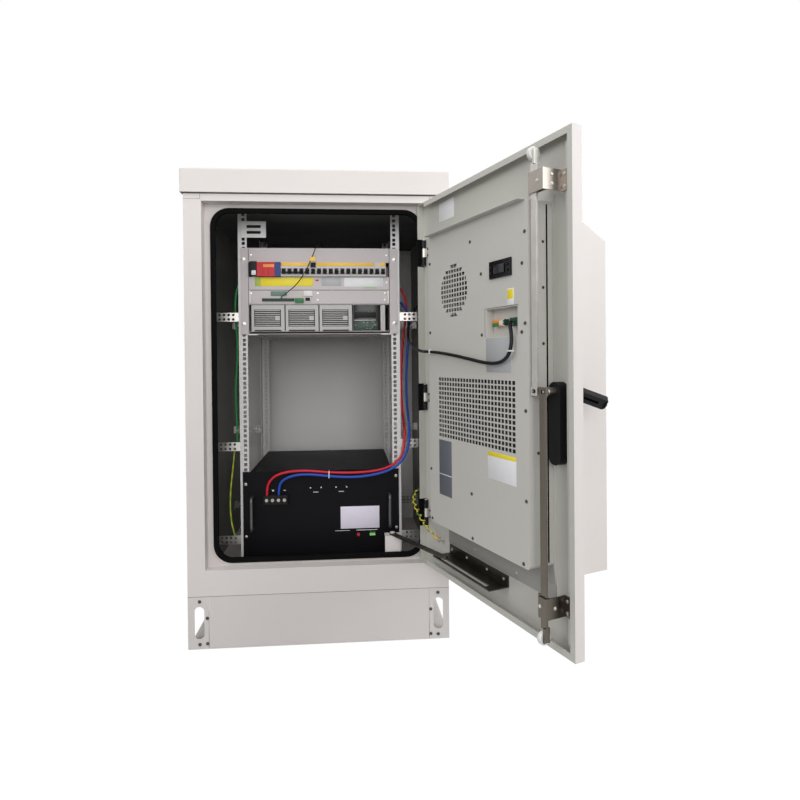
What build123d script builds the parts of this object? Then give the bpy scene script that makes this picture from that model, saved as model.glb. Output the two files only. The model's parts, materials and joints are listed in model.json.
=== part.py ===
from build123d import *
import os
from math import cos, pi, radians, sin, sqrt, tan

os.makedirs("parts", exist_ok=True)

# Outdoor equipment cabinet with its door held open, in millimetres.
# +X is to the right seen from the front, +Y goes into the cabinet, +Z is up.
# The origin is on the ground, at the middle of the plinth.

# Cabinet shell
WIDTH = 750.0
DEPTH = 750.0
BODY_HEIGHT = 1152.0
PLINTH_HEIGHT = 150.0
SHEET = 2.0
FIT = 0.2
OVERRUN = 5.0
ROOF_HEIGHT = 68.0
ROOF_LAP = 4.0
ROOF_OVERHANG = 8.0
ROOF_EDGE = 4.0
ROOF_RIB_INSET = 120.0
ROOF_RIB_WIDTH = 30.0
WALL_FLANGE = 20.0
LINING = 20.0
LINING_SETBACK = 6.0

FRONT = -DEPTH / 2
REAR = DEPTH / 2
SIDE = WIDTH / 2
BODY_TOP = PLINTH_HEIGHT + BODY_HEIGHT
ROOF_BOTTOM = BODY_TOP - ROOF_LAP
ROOF_TOP = ROOF_BOTTOM + ROOF_HEIGHT
FLOOR_TOP = PLINTH_HEIGHT + SHEET
CEILING = BODY_TOP - 2 * SHEET
WALL_IN = SIDE - SHEET
LINING_IN = WALL_IN - LINING

# Plinth
PLINTH_SHEET = 3.0
PLINTH_BASE = 4.0
PLINTH_POST = 58.0
PLINTH_FLANGE = 80.0
PLINTH_TOP_FLANGE = 40.0
PLINTH_PANEL_GAP = 1.5
PLINTH_SLOT_INSET = 32.0
PLINTH_SLOT_WIDTH = 28.0
PLINTH_SLOT_LENGTH = 92.0
ANCHOR_INSET = 55.0
ANCHOR_RADIUS = 7.0

# Front frame: corner posts, door recess and the opening behind it
POST_WIDTH = 50.0
SILL_HEIGHT = 74.0
HEAD_HEIGHT = 27.0
RECESS_DEPTH = 34.0
LIP_SIDE = 28.0
LIP_SILL = 20.0
LIP_HEAD = 23.0
OPENING_RADIUS = 44.0
SEAM_WIDTH = 1.2
SEAM_DEPTH = 0.8
SEAL_BULB = 8.0
SEAL_OUT = 10.0
SEAL_IN = 3.0
SEAL_BACK = 4.0

RECESS_WIDTH = WIDTH - 2 * POST_WIDTH
RECESS_BOTTOM = PLINTH_HEIGHT + SILL_HEIGHT
RECESS_TOP = BODY_TOP - HEAD_HEIGHT
RECESS_HEIGHT = RECESS_TOP - RECESS_BOTTOM
RECESS_MIDDLE = (RECESS_TOP + RECESS_BOTTOM) / 2
OPENING_WIDTH = RECESS_WIDTH - 2 * LIP_SIDE
OPENING_BOTTOM = RECESS_BOTTOM + LIP_SILL
OPENING_TOP = RECESS_TOP - LIP_HEAD
OPENING_HEIGHT = OPENING_TOP - OPENING_BOTTOM
OPENING_MIDDLE = (OPENING_TOP + OPENING_BOTTOM) / 2
LIP_FACE = FRONT + RECESS_DEPTH
LIP_BACK = LIP_FACE + SHEET
FRAME_RETURN = RECESS_DEPTH + SHEET

# Nineteen-inch rack
UNIT = 44.45
UNIT_HOLES = (6.35, 22.225, 38.1)
RACK_BASE = 210.7
RACK_SETBACK = 135.0
RACK_DEPTH = 460.0
RACK_BODY_HALF = 218.0
EAR_WIDTH = 23.3
HOLE_OFFSET = 14.6
HOLE_SIDE = 9.5
POST_CLEAR = 4.0
POST_FACE = 27.0
POST_WEB = 40.0
EAR = 3.0
UNIT_PLAY = 0.8

RACK_FRONT = FRONT + RACK_SETBACK
RACK_REAR = RACK_FRONT + RACK_DEPTH
RACK_UNITS = int((CEILING - LINING - RACK_BASE) / UNIT)
RACK_TOP = RACK_BASE + RACK_UNITS * UNIT
EAR_FRONT = RACK_FRONT - EAR
EAR_HALF = RACK_BODY_HALF + EAR_WIDTH
HOLE_HALF = RACK_BODY_HALF + HOLE_OFFSET
POST_IN = RACK_BODY_HALF + POST_CLEAR
POST_OUT = POST_IN + POST_FACE

# Brackets between the posts and the side walls, rails under the rack units
BRACKET_UNITS = (1.25, 7.75, 16.75)
BRACKET_HEIGHT = 27.0
BRACKET_TAB = 30.0
BRACKET_SETBACK = 4.0
BRACKET_HOLE = 4.0
BRACKET_PITCH = 14.0
RAIL_WIDTH = 32.0
RAIL_LEG = 24.0
SLOTTED_WIDTH = 76.0
SLOTTED_HEIGHT = 50.0
SLOTTED_UNITS_DOWN = 1.75
SLOTTED_INSET = 10.0
SLOT_LONG = 44.0
SLOT_TALL = 9.0
SLOT_PITCH = 18.0

BRACKET_COLUMNS = int((LINING_IN - POST_OUT) / (2 * BRACKET_PITCH))
SLOTTED_START = POST_OUT - SLOTTED_INSET

# Power unit in the rack
POWER_UNITS_DOWN = 8.45
POWER_UNITS = 6
POWER_DEPTH = 300.0
POWER_SHEET = 1.5
MODULE_HEIGHT = 81.0
MODULE_SHELF = 8.5
MODULE_DEPTH = 266.0
MODULE_WIDTH = 100.5
MODULE_PITCH = 104.0
MODULE_COUNT = 3
MODULE_PROUD = 3.0
MODULE_INSET = 9.0
LATCH_SIDE = 14.0
LATCH_PROUD = 3.0
MONITOR_WIDTH = 100.0
MONITOR_DEPTH = 180.0
FASCIA_LOW = 43.0
FASCIA_MIDDLE = 40.0
BREAKER_WINDOW = 45.0
FASCIA_GAP = 1.0

POWER_BOTTOM = RACK_TOP - POWER_UNITS_DOWN * UNIT
MODULE_START = RACK_BODY_HALF - MODULE_INSET
POWER_TOP = POWER_BOTTOM + POWER_UNITS * UNIT - UNIT_PLAY
MODULE_BOTTOM = POWER_BOTTOM + MODULE_SHELF
MODULE_TOP = MODULE_BOTTOM + MODULE_HEIGHT
FASCIA_START = MODULE_TOP + 2 * POWER_SHEET + FASCIA_GAP
FASCIA_SPLIT = FASCIA_START + FASCIA_LOW
WINDOW_BOTTOM = FASCIA_SPLIT + FASCIA_MIDDLE
WINDOW_TOP = WINDOW_BOTTOM + BREAKER_WINDOW

# Breaker row on its rail
POLE = 18.0
POLE_GAP = 0.5
ARRESTER_COUNT = 4
BREAKER_COUNT = 18
GANG_COUNT = 4
LOOSE_TOGGLES = (5, 6, 18)
ROW_START = 190.0
BREAKER_HEIGHT = 85.0
BREAKER_BODY = 46.0
NOSE_PROUD = 9.0
NOSE_GAP = 1.0
ARRESTER_PROUD = 13.0
DIN_HEIGHT = 35.0
DIN_THICK = 7.0
BODY_BEHIND = 4.0
TOGGLE_DROP = 6.0
TOGGLE_RADIUS = 6.0
TOGGLE_WIDTH = 11.4
TOGGLE_AXLE = 1.5
AXLE_PLAY = 0.05
AXLE_REACH = 1.8
TOGGLE_REACH = 14.0
TOGGLE_THICK = 5.0
TOGGLE_ANGLE = 20.0
TOGGLE_BACK = 2.5
POCKET_PLAY = 0.6
POCKET_TALL = 18.0
TIE_THICK = 4.0

DIN_FRONT = EAR_FRONT + BODY_BEHIND + BREAKER_BODY
BODY_FRONT = EAR_FRONT + BODY_BEHIND
NOSE_FRONT = EAR_FRONT - NOSE_PROUD
ROW_MIDDLE = (WINDOW_BOTTOM + WINDOW_TOP) / 2
TOGGLE_HEIGHT = ROW_MIDDLE - TOGGLE_DROP
TOGGLE_AXIS = NOSE_FRONT + TOGGLE_BACK

# Battery unit in the rack
BATTERY_UNITS = 6
BATTERY_DEPTH = 396.0
BATTERY_HANDLE_INSET = 7.0
HANDLE_LOW = 85.0
HANDLE_SPAN = 110.0
HANDLE_REACH = 34.0
HANDLE_BAR = 5.0
HANDLE_BEND = 12.0
TERMINAL_INSET = 78.0
TERMINAL_RISE = 180.5
TERMINAL_WIDTH = 72.0
TERMINAL_HEIGHT = 28.0
TERMINAL_DEPTH = 15.0
TERMINAL_POLES = 4
TERMINAL_SCREW = 5.0
TERMINAL_SCREW_PROUD = 5.0
TERMINAL_FIN = 2.0
PORT_X = (-18.0, 61.0)
PORT_RISE = 212.0
PORT_WIDTH = 24.0
PORT_HEIGHT = 10.0
PORT_PROUD = 3.0
BUTTON_X = 113.0
BUTTON_RISE = 63.0
BUTTON_RADIUS = 5.0
BUTTON_PROUD = 5.0
BUTTON_DEEP = 10.0
BUTTON_PLAY = 0.1
ROCKER_X = 157.0
ROCKER_RISE = 64.0
ROCKER_WIDTH = 17.0
ROCKER_HEIGHT = 11.0
ROCKER_PLAY = 0.8
ROCKER_DEEP = 12.0
ROCKER_PROUD = 2.0
ROCKER_AXLE = 1.5
ROCKER_REACH = 2.0
ROCKER_KICK = 2.6

BATTERY_BOTTOM = RACK_BASE + UNIT_PLAY
BATTERY_TOP = RACK_BASE + BATTERY_UNITS * UNIT
BATTERY_HANDLE_X = RACK_BODY_HALF - BATTERY_HANDLE_INSET
TERMINAL_X = TERMINAL_INSET - RACK_BODY_HALF

# Door and its hinges, in door axes: u from the hinge line to the free edge,
# n from the hinge line towards the inside, z up
DOOR_GAP = 4.0
DOOR_THICK = 24.0
DOOR_LIP = 14.0
DOOR_ANGLE = 110.7
HINGE_INSET = 10.0
HINGE_BACK = 8.0
HINGE_RISES = (142.0, 481.0)
HINGE_TOP_DROP = 140.0
HINGE_LENGTH = 74.0
HINGE_MIDDLE = 26.0
HINGE_PLAY = 0.4
HINGE_RADIUS = 5.5
PIN_RADIUS = 3.0
PIN_PLAY = 0.05
PIN_FIX = 0.02
PIN_HEAD = 4.2
PIN_HEAD_THICK = 2.0
LEAF_WEB = 3.0
LEAF_FOOT = 12.0
LEAF_RELIEF = 2.0
DOOR_LEAF_REACH = 30.0
DOOR_LEAF_THICK = 3.0
NOTCH_PLAY = 3.0
STIFFENER_WIDTH = 26.0
STIFFENER_HEIGHT = 14.0
STIFFENER_END = 24.0
STIFFENER_SLOT = 7.0
STIFFENER_SLOT_LENGTH = 36.0
STUD_U = 92.0
STUD_Z = 316.0
STUD_RADIUS = 4.0
STUD_LENGTH = 18.0

PIVOT_X = RECESS_WIDTH / 2 - DOOR_GAP - HINGE_INSET
PIVOT_Y = FRONT + HINGE_BACK
DOOR_BOTTOM = RECESS_BOTTOM + DOOR_GAP
DOOR_TOP = RECESS_TOP - DOOR_GAP
HINGE_EDGE = -HINGE_INSET
FREE_EDGE = RECESS_WIDTH - 2 * DOOR_GAP - HINGE_INSET
HINGE_HEIGHTS = [DOOR_BOTTOM + rise for rise in HINGE_RISES] + [DOOR_TOP - HINGE_TOP_DROP]
SKIN_OUT = -HINGE_BACK
SKIN_IN = SKIN_OUT + SHEET
RIM = SKIN_OUT + DOOR_THICK
STIFFENER_TOP = SKIN_IN + STIFFENER_HEIGHT
STIFFENER_U = FREE_EDGE - SHEET - STIFFENER_WIDTH

# Air conditioner through the door
AC_SHEET = 1.5
AC_HINGE_GAP = 132.0
AC_TOP_DROP = 125.0
AC_FREE_GAP = 82.0
AC_RISE = 160.0
AC_STAND = 64.0
AC_FLANGE = 10.0
AC_SILL = 38.0
AC_CUT_INSET = 10.0
AC_CORNER = 10.0
FAN_GRILLE_U = 128.0
FAN_GRILLE_Z = 602.0
FAN_GRILLE_RADIUS = 62.0
GRILLE_PITCH = 12.0
GRILLE_HOLE = 8.5
GRILLE_U = 212.0
GRILLE_Z = 308.5
GRILLE_WIDTH = 322.0
GRILLE_ROWS = 13
POCKET_U = 327.0
POCKET_Z = 511.0
POCKET_WIDTH = 112.0
POCKET_HEIGHT = 62.0
POCKET_DEEP = 20.0
DISPLAY_U = 326.0
DISPLAY_Z = 627.0
DISPLAY_WIDTH = 78.0
DISPLAY_HEIGHT = 38.0
DISPLAY_THICK = 4.0
DISPLAY_WINDOW = 5.0
DISPLAY_SUNK = 1.5
TERMINALS_WIDTH = 44.0
TERMINALS_TALL = 14.0
TERMINALS_DEEP = 12.0
TERMINALS_WAYS = 5
TERMINALS_WAY = 5.0
BOARD_WIDTH = 44.0
BOARD_TALL = 18.0
BOARD_THICK = 4.0
INNER_MOTOR_RADIUS = 16.0
INNER_MOTOR_LENGTH = 32.0
INNER_FAN_RADIUS = 54.0
INNER_FAN_WIDTH = 16.0
INNER_HUB = 17.0
INNER_SHAFT = 3.0
FAN_BLADES = 6
BLADE_THICK = 2.0
BLADE_PITCH = 35.0
FAN_GAP = 0.5
OUTER_MOTOR_RADIUS = 32.0
OUTER_MOTOR_LENGTH = 110.0
OUTER_FAN_RADIUS = 100.0
OUTER_FAN_WIDTH = 28.0
OUTER_HUB = 34.0
OUTER_SHAFT = 5.0
OUTER_FAN_Z = 472.0
SHAFT_SHORT = 1.0

COVER_WIDTH = 450.0
COVER_FREE_GAP = 96.0
COVER_RISE = 122.0
COVER_HEIGHT = 815.0
COVER_FRONT_HEIGHT = 726.0
COVER_STAND = 157.0
LOUVRE_COUNT = 9
LOUVRE_PITCH = 24.0
LOUVRE_TALL = 8.0
LOUVRE_RISE = 60.0
LOUVRE_INSET = 60.0
FAN_SLOT_RADIUS = 108.0
FAN_SLOT_PITCH = 20.0
FAN_SLOT_TALL = 11.0
FAN_SLOT_STEPS = 5
EVAPORATOR_WIDTH = 340.0
EVAPORATOR_HEIGHT = 180.0
EVAPORATOR_DEPTH = 44.0
CONDENSER_WIDTH = 290.0
CONDENSER_HEIGHT = 270.0
CONDENSER_DEPTH = 62.0
CONDENSER_INSET = 20.0
CONDENSER_RISE = 70.0
COIL_FINS = 14
FIN_GAP = 5.0
FIN_DEEP = 4.0
COMPRESSOR_RADIUS = 45.0
COMPRESSOR_HEIGHT = 180.0
COMPRESSOR_DOME = 20.0
COMPRESSOR_U = 374.0
COMPRESSOR_N = 77.0

AC_U1 = FREE_EDGE - AC_FREE_GAP
AC_U0 = AC_HINGE_GAP
AC_Z0 = DOOR_BOTTOM + AC_RISE
AC_Z1 = DOOR_TOP - AC_TOP_DROP
AC_WIDTH = AC_U1 - AC_U0
AC_HEIGHT = AC_Z1 - AC_Z0
AC_FACE = SKIN_IN + AC_STAND
AC_BACK = SKIN_IN + AC_SHEET
FAN_U = AC_U0 + FAN_GRILLE_U
FAN_Z = AC_Z0 + FAN_GRILLE_Z
COVER_U1 = FREE_EDGE - COVER_FREE_GAP
COVER_U0 = COVER_U1 - COVER_WIDTH
COVER_Z0 = DOOR_BOTTOM + COVER_RISE
COVER_FACE = SKIN_OUT - COVER_STAND
OUTER_FAN_U = (COVER_U0 + COVER_U1) / 2
OUTER_FAN_CENTRE = AC_Z0 + OUTER_FAN_Z

# Three-point lock: handle, cam, two rods with rollers, two guides
SPINDLE_EDGE = 56.0
SPINDLE_RISE = 526.0
SPINDLE_RADIUS = 8.0
SPINDLE_PLAY = 0.05
BOSS_RADIUS = 12.5
BOSS_LENGTH = 12.0
HOUSING_WIDTH = 34.0
HOUSING_LENGTH = 168.0
HOUSING_WALL = 2.5
HOUSING_ABOVE = 18.0
HOUSING_BACK = 16.0
FLANGE_WIDE = 4.0
FLANGE_THICK = 4.0
HEAD_RADIUS = 13.0
HEAD_THICK = 3.6
HEAD_GAP = 0.4
CHEEK_GAP = 7.4
CHEEK_THICK = 3.6
CHEEK_HALF = 7.0
CHEEK_RISE = 15.0
LIFT_RISE = 8.0
LIFT_PIN = 2.5
LIFT_PLAY = 0.05
LEVER_TURN = 45.0
LEVER_LIFT = 60.0
LEVER_LENGTH = 80.0
LEVER_WIDTH = 26.0
LEVER_ROOT = 6.0
LEVER_ROOT_WIDTH = 14.0
LEVER_UNDER = 6.5
LEVER_OVER = 7.5
LEVER_WALL = 3.0
LEVER_NECK = 16.0
LEVER_CORNER = 6.0
LEVER_RELIEF = 30.0
LEVER_HOOK = 8.0
CAM_RADIUS = 16.5
CAM_WIDTH = 15.0
CAM_THICK = 4.0
CAM_LEVEL = 46.0
CAM_PIN = 3.0
CAM_PIN_LENGTH = 7.0
ROD_WIDTH = 16.0
ROD_THICK = 5.0
ROD_GAP = 0.6
ROD_SPREAD = 11.0
ROD_FOOT_HALF = 9.0
ROD_FOOT_EDGE = 3.0
PIN_SLOT_PLAY = 0.5
PIN_SLOT_RISE = 2.2
ROLLER_DROP = 42.0
ROLLER_RISE = 39.0
ROLLER_RADIUS = 14.0
ROLLER_WIDTH = 9.6
ROLLER_BORE = 3.0
ROLLER_PLAY = 0.05
ROLLER_SIDE = 0.5
ROLLER_ROUND = 2.0
ROLLER_CAP = 5.0
ROLLER_CAP_THICK = 2.0
ROD_EAR = 5.0
ROD_EAR_HALF = 7.0
ROD_EAR_LAP = 4.0
GUIDE_DROP = 121.0
GUIDE_RISE = 78.0
GUIDE_HEIGHT = 42.0
GUIDE_PLATE = 3.0
GUIDE_LAP = 14.0
GUIDE_LEG_OFFSET = 19.6
GUIDE_FOOT_EDGE = 20.0

SPINDLE_U = FREE_EDGE - SPINDLE_EDGE
SPINDLE_Z = DOOR_BOTTOM + SPINDLE_RISE
ROD_U = (SPINDLE_U - ROD_SPREAD, SPINDLE_U + ROD_SPREAD)
ROLLER_Z = (DOOR_TOP - ROLLER_DROP, DOOR_BOTTOM + ROLLER_RISE)
GUIDE_START = (DOOR_TOP - GUIDE_DROP, DOOR_BOTTOM + GUIDE_RISE)
GUIDE_LEG_U = SPINDLE_U + GUIDE_LEG_OFFSET
GUIDE_FOOT_END = FREE_EDGE - GUIDE_FOOT_EDGE
ROD_LEVEL = CAM_LEVEL + CAM_THICK + ROD_GAP
ROD_TOP = ROD_LEVEL + ROD_THICK
HOUSING_Z = SPINDLE_Z + HOUSING_ABOVE - HOUSING_LENGTH / 2
FLANGE_OUT = SKIN_OUT - FLANGE_THICK
HEAD_OUT = FLANGE_OUT - HEAD_GAP - HEAD_THICK
LIFT_N = HEAD_OUT - LIFT_RISE
PIN_SLOT_LENGTH = CAM_RADIUS * (1 - cos(radians(LEVER_TURN))) + 2 * (CAM_PIN + PIN_SLOT_PLAY)
ROLLER_CENTRE_N = (ROD_LEVEL + ROD_TOP) / 2

# Door stay: bracket on the frame, arm, track on the door
STAY_X = 214.0
STAY_Y = -320.0
STAY_Z = 294.0
STAY_THICK = 4.0
STAY_WIDTH = 18.0
STAY_PIN = 4.0
STAY_PIN_PLAY = 0.05
STAY_GAP = 0.5
STAY_HEAD = 7.0
STAY_HEAD_THICK = 3.0
STAY_PIN_U = 172.0
STAY_PIN_N = 38.0
BRACKET_WIDTH = 46.0
BRACKET_SHEET = 3.0
BRACKET_REACH = 34.0
TRACK_START = 128.0
TRACK_LENGTH = 264.0
TRACK_LEG = 24.0
TRACK_REACH = 56.0
TRACK_SHEET = 3.0
TRACK_SLOT = 12.0
TRACK_SLOT_INSET = 24.0
STAY_RIVET_DROP = 3.4

TRACK_TOP = STAY_Z - STAY_RIVET_DROP - STAY_GAP

# Cables, as points along their middle lines
GREEN_DIAMETER = 6.0
YELLOW_DIAMETER = 5.0
SENSOR_DIAMETER = 3.0
POWER_CABLE_DIAMETER = 8.0
AC_CABLE_DIAMETER = 8.0
CURLY_DIAMETER = 13.0
ARC_SHARE = 0.45

GREEN_ROUTE = [
    (-218, -188, 1082), (-241, -188, 1082), (-262, -189, 1056), (-269, -192, 1002), (-267, -190, 944),
    (-263, -188, 886), (-264, -187, 828), (-268, -189, 770), (-270, -191, 712), (-268, -190, 656),
    (-266, -192, 606), (-265, -198, 574), (-264, -213, 558), (-264, -234, 558),
]
YELLOW_ROUTE = [
    (-271, -234, 552), (-271, -217, 552), (-272, -211, 532), (-277, -211, 484), (-284, -212, 426),
    (-287, -212, 370), (-284, -213, 320), (-276, -215, 284), (-267, -216, 266), (-251, -216, 266),
]
RED_ROUTE = [
    (218, -150, 1062), (246, -150, 1062), (270, -152, 1044), (278, -156, 1008), (276, -158, 962),
    (270, -160, 910), (264, -161, 856), (260, -162, 800), (258, -164, 744), (258, -169, 694),
    (260, -182, 654), (262, -204, 622), (262, -230, 596), (260, -250, 568), (256, -259, 540),
    (246, -264, 515), (224, -265, 494), (192, -263, 480), (152, -261, 473), (104, -259, 470.5),
    (54, -258, 471), (8, -258, 474.5), (-34, -258, 479), (-72, -258, 480), (-107, -257.5, 477),
    (-137, -255.5, 468), (-158, -252.5, 451), (-167, -251, 428), (-167, -251, 406),
]
BLUE_ROUTE = [
    (218, -172, 1012), (246, -172, 1012), (271, -173, 995), (282, -175, 960), (283, -176, 912),
    (280, -176, 858), (276, -176, 802), (274, -177, 746), (274, -183, 694), (276, -197, 650),
    (277, -219, 616), (276, -243, 588), (272, -261, 559), (264, -271, 531), (247, -276, 505),
    (222, -277, 485), (190, -275, 472), (148, -272, 463), (102, -269, 458.5), (54, -267, 460),
    (8, -266, 465), (-36, -265.5, 470), (-72, -263, 469), (-102, -258, 461), (-122, -253.5, 448),
    (-131, -251, 428), (-131, -251, 406),
]
SENSOR_ROUTE = [
    (7, -196, 1168), (7, -196, 1181), (4, -210, 1193), (0, -240, 1194), (-7, -266, 1174),
    (-19, -276, 1136), (-40, -278, 1090), (-68, -276, 1050), (-98, -271, 1026), (-118, -260, 1014),
    (-118, -243, 1014),
]


def door_point(u, z, n):
    """A point given in door axes, at its place on the open door."""
    return DOOR_ORIGIN + DOOR_U * u + DOOR_N * n + Vector(0, 0, z)


opening = radians(DOOR_ANGLE)
DOOR_ORIGIN = Vector(PIVOT_X, PIVOT_Y, 0)
DOOR_U = Vector(-cos(opening), -sin(opening), 0)
DOOR_N = Vector(-sin(opening), cos(opening), 0)
UP = Vector(0, 0, 1)
DOOR = Plane(origin=DOOR_ORIGIN, x_dir=DOOR_U, z_dir=DOOR_N)
FACE = Plane.XZ.offset(-FRONT)

AC_CABLE_ROUTE = [
    (353, -190, 1004), (327, -190, 1004), (301, -198, 984), (285, -212, 948), (276, -230, 912),
    (272, -264, 886), (272, -304, 872), (276, -346, 860), (283, -390, 850), (291, -434, 843),
    (297, -475, 841),
] + [
    door_point(132, 841, 70), door_point(190, 838, 68), door_point(262, 831, 68), door_point(336, 821, 67),
    door_point(404, 811, 67), door_point(456, 809, 68), door_point(494, 820, 70), door_point(510, 846, 70),
    door_point(504, 876, 66), door_point(487, 893, 58), door_point(475, 899, 46),
]
CURLY_ROUTE = [
    (353, -300, 434), (327, -300, 434), (302, -307, 428), (283, -326, 416), (277, -352, 402),
    (280, -379, 386), (289, -404, 368), (301, -427, 350), (316, -445, 332), (331, -456, 317),
]


def slab(a0, a1, b0, b1, c0, c1, mode=Mode.ADD):
    """A block between two corners, in the axes of the working plane."""
    with Locations(((a0 + a1) / 2, (b0 + b1) / 2, (c0 + c1) / 2)):
        Box(abs(a1 - a0), abs(b1 - b0), abs(c1 - c0), mode=mode)


def plate(plane, a0, a1, b0, b1, holes, thick):
    """A sheet between two corners of a plane, with holes given as closed wires in the plane."""
    outline = Wire.make_polygon([(a0, b0), (a1, b0), (a1, b1), (a0, b1)], close=True)
    extrude(plane.location * Face(outline, holes), amount=thick)


def square(x, y, size):
    """The outline of a square hole about its middle."""
    reach = size / 2
    corners = [(x - reach, y - reach), (x + reach, y - reach), (x + reach, y + reach), (x - reach, y + reach)]
    return Wire.make_polygon(corners, close=True)


def keep(piece, name):
    """Names a finished piece and writes it out."""
    piece.part.label = name
    export_step(piece.part, f"parts/{name}.step")


# Plinth
with BuildPart() as plinth_frame:
    slab(-SIDE, SIDE, FRONT, REAR, 0, PLINTH_BASE)
    slab(-SIDE + PLINTH_FLANGE, SIDE - PLINTH_FLANGE, FRONT + PLINTH_FLANGE, REAR - PLINTH_FLANGE,
         0, PLINTH_BASE, mode=Mode.SUBTRACT)
    top_out = SIDE - PLINTH_SHEET
    top_front = FRONT + PLINTH_SHEET
    slab(-top_out, top_out, top_front, -top_front, PLINTH_HEIGHT - PLINTH_BASE, PLINTH_HEIGHT)
    slab(-top_out + PLINTH_TOP_FLANGE, top_out - PLINTH_TOP_FLANGE, top_front + PLINTH_TOP_FLANGE,
         -top_front - PLINTH_TOP_FLANGE, PLINTH_HEIGHT - PLINTH_BASE, PLINTH_HEIGHT, mode=Mode.SUBTRACT)
    for side in (-1, 1):
        for end in (-1, 1):
            x_out, x_in = side * SIDE, side * (SIDE - PLINTH_POST)
            y_out, y_in = end * REAR, end * (REAR - PLINTH_POST)
            slab(x_out, x_in, y_out, y_out - end * PLINTH_SHEET, 0, PLINTH_HEIGHT)
            slab(x_out, x_out - side * PLINTH_SHEET, y_out, y_in, 0, PLINTH_HEIGHT)
    with BuildSketch(Plane.XZ):
        for side in (-1, 1):
            with Locations((side * (SIDE - PLINTH_SLOT_INSET), PLINTH_HEIGHT / 2)):
                SlotOverall(PLINTH_SLOT_LENGTH, PLINTH_SLOT_WIDTH, rotation=90)
    extrude(amount=DEPTH, both=True, mode=Mode.SUBTRACT)
    anchor_x, anchor_y = WIDTH - 2 * ANCHOR_INSET, DEPTH - 2 * ANCHOR_INSET
    with Locations((0, 0, PLINTH_BASE)):
        with GridLocations(anchor_x, anchor_y, 2, 2):
            Hole(ANCHOR_RADIUS, PLINTH_BASE)
keep(plinth_frame, "plinth_frame")

with BuildPart() as plinth_panels:
    panel_x = SIDE - PLINTH_POST - PLINTH_PANEL_GAP
    panel_z0, panel_z1 = PLINTH_BASE + FIT, PLINTH_HEIGHT - FIT
    for end in (-1, 1):
        slab(-panel_x, panel_x, end * REAR, end * (REAR - SHEET), panel_z0, panel_z1)
keep(plinth_panels, "plinth_panels")

# Shell
with BuildPart() as floor_plate:
    slab(-WALL_IN + FIT, WALL_IN - FIT, FRONT + SHEET + FIT, REAR - SHEET - FIT, PLINTH_HEIGHT, FLOOR_TOP)
keep(floor_plate, "floor_plate")

with BuildPart() as front_frame:
    with BuildSketch(FACE):
        with Locations((0, (PLINTH_HEIGHT + BODY_TOP) / 2)):
            Rectangle(WIDTH, BODY_HEIGHT)
        with Locations((0, RECESS_MIDDLE)):
            Rectangle(RECESS_WIDTH, RECESS_HEIGHT, mode=Mode.SUBTRACT)
    extrude(amount=-SHEET)
    with BuildSketch(FACE):
        with Locations((0, RECESS_MIDDLE)):
            Rectangle(RECESS_WIDTH + 2 * SHEET, RECESS_HEIGHT + 2 * SHEET)
            Rectangle(RECESS_WIDTH, RECESS_HEIGHT, mode=Mode.SUBTRACT)
    extrude(amount=-FRAME_RETURN)
    with BuildSketch(FACE.offset(-RECESS_DEPTH)):
        with Locations((0, RECESS_MIDDLE)):
            Rectangle(RECESS_WIDTH + 2 * SHEET, RECESS_HEIGHT + 2 * SHEET)
        with Locations((0, OPENING_MIDDLE)):
            RectangleRounded(OPENING_WIDTH, OPENING_HEIGHT, OPENING_RADIUS, mode=Mode.SUBTRACT)
    extrude(amount=-SHEET)
    for side in (-1, 1):
        slab(side * SIDE, side * WALL_IN, FRONT, FRONT + FRAME_RETURN, PLINTH_HEIGHT, BODY_TOP)
        seam = side * RECESS_WIDTH / 2
        slab(seam - SEAM_WIDTH / 2, seam + SEAM_WIDTH / 2, FRONT, FRONT + SEAM_DEPTH,
             RECESS_TOP, BODY_TOP, mode=Mode.SUBTRACT)
keep(front_frame, "front_frame")

WALL_FRONT = FRONT + FRAME_RETURN + FIT
WALL_REAR = REAR - SHEET - FIT
for side, name in ((-1, "left_wall"), (1, "right_wall")):
    with BuildPart() as side_wall:
        slab(side * SIDE, side * WALL_IN, WALL_FRONT, WALL_REAR, PLINTH_HEIGHT, BODY_TOP)
        slab(side * SIDE, side * (SIDE - WALL_FLANGE), WALL_FRONT, WALL_REAR, BODY_TOP - SHEET, BODY_TOP)
    keep(side_wall, name)

with BuildPart() as rear_wall:
    slab(-SIDE, SIDE, REAR - SHEET, REAR, PLINTH_HEIGHT, BODY_TOP)
keep(rear_wall, "rear_wall")

with BuildPart() as top_plate:
    slab(-WALL_IN + FIT, WALL_IN - FIT, FRONT + SHEET + FIT, REAR - SHEET - FIT, CEILING, BODY_TOP - SHEET)
keep(top_plate, "top_plate")

with BuildPart() as roof_cover:
    roof_x, roof_y = SIDE + ROOF_OVERHANG, REAR + ROOF_OVERHANG
    slab(-roof_x, roof_x, -roof_y, roof_y, ROOF_BOTTOM, ROOF_TOP)
    top_edges = roof_cover.faces().sort_by(Axis.Z)[-1].edges()
    fillet(top_edges + roof_cover.edges().filter_by(Axis.Z), ROOF_EDGE)
    slab(-roof_x + SHEET, roof_x - SHEET, -roof_y + SHEET, roof_y - SHEET,
         ROOF_BOTTOM, ROOF_TOP - SHEET, mode=Mode.SUBTRACT)
    for end in (-1, 1):
        rib = end * (REAR - ROOF_RIB_INSET)
        slab(-WALL_IN, WALL_IN, rib, rib + SHEET, BODY_TOP, ROOF_TOP - SHEET)
        slab(-WALL_IN, WALL_IN, rib, rib + ROOF_RIB_WIDTH, BODY_TOP, BODY_TOP + SHEET)
keep(roof_cover, "roof_cover")

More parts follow.
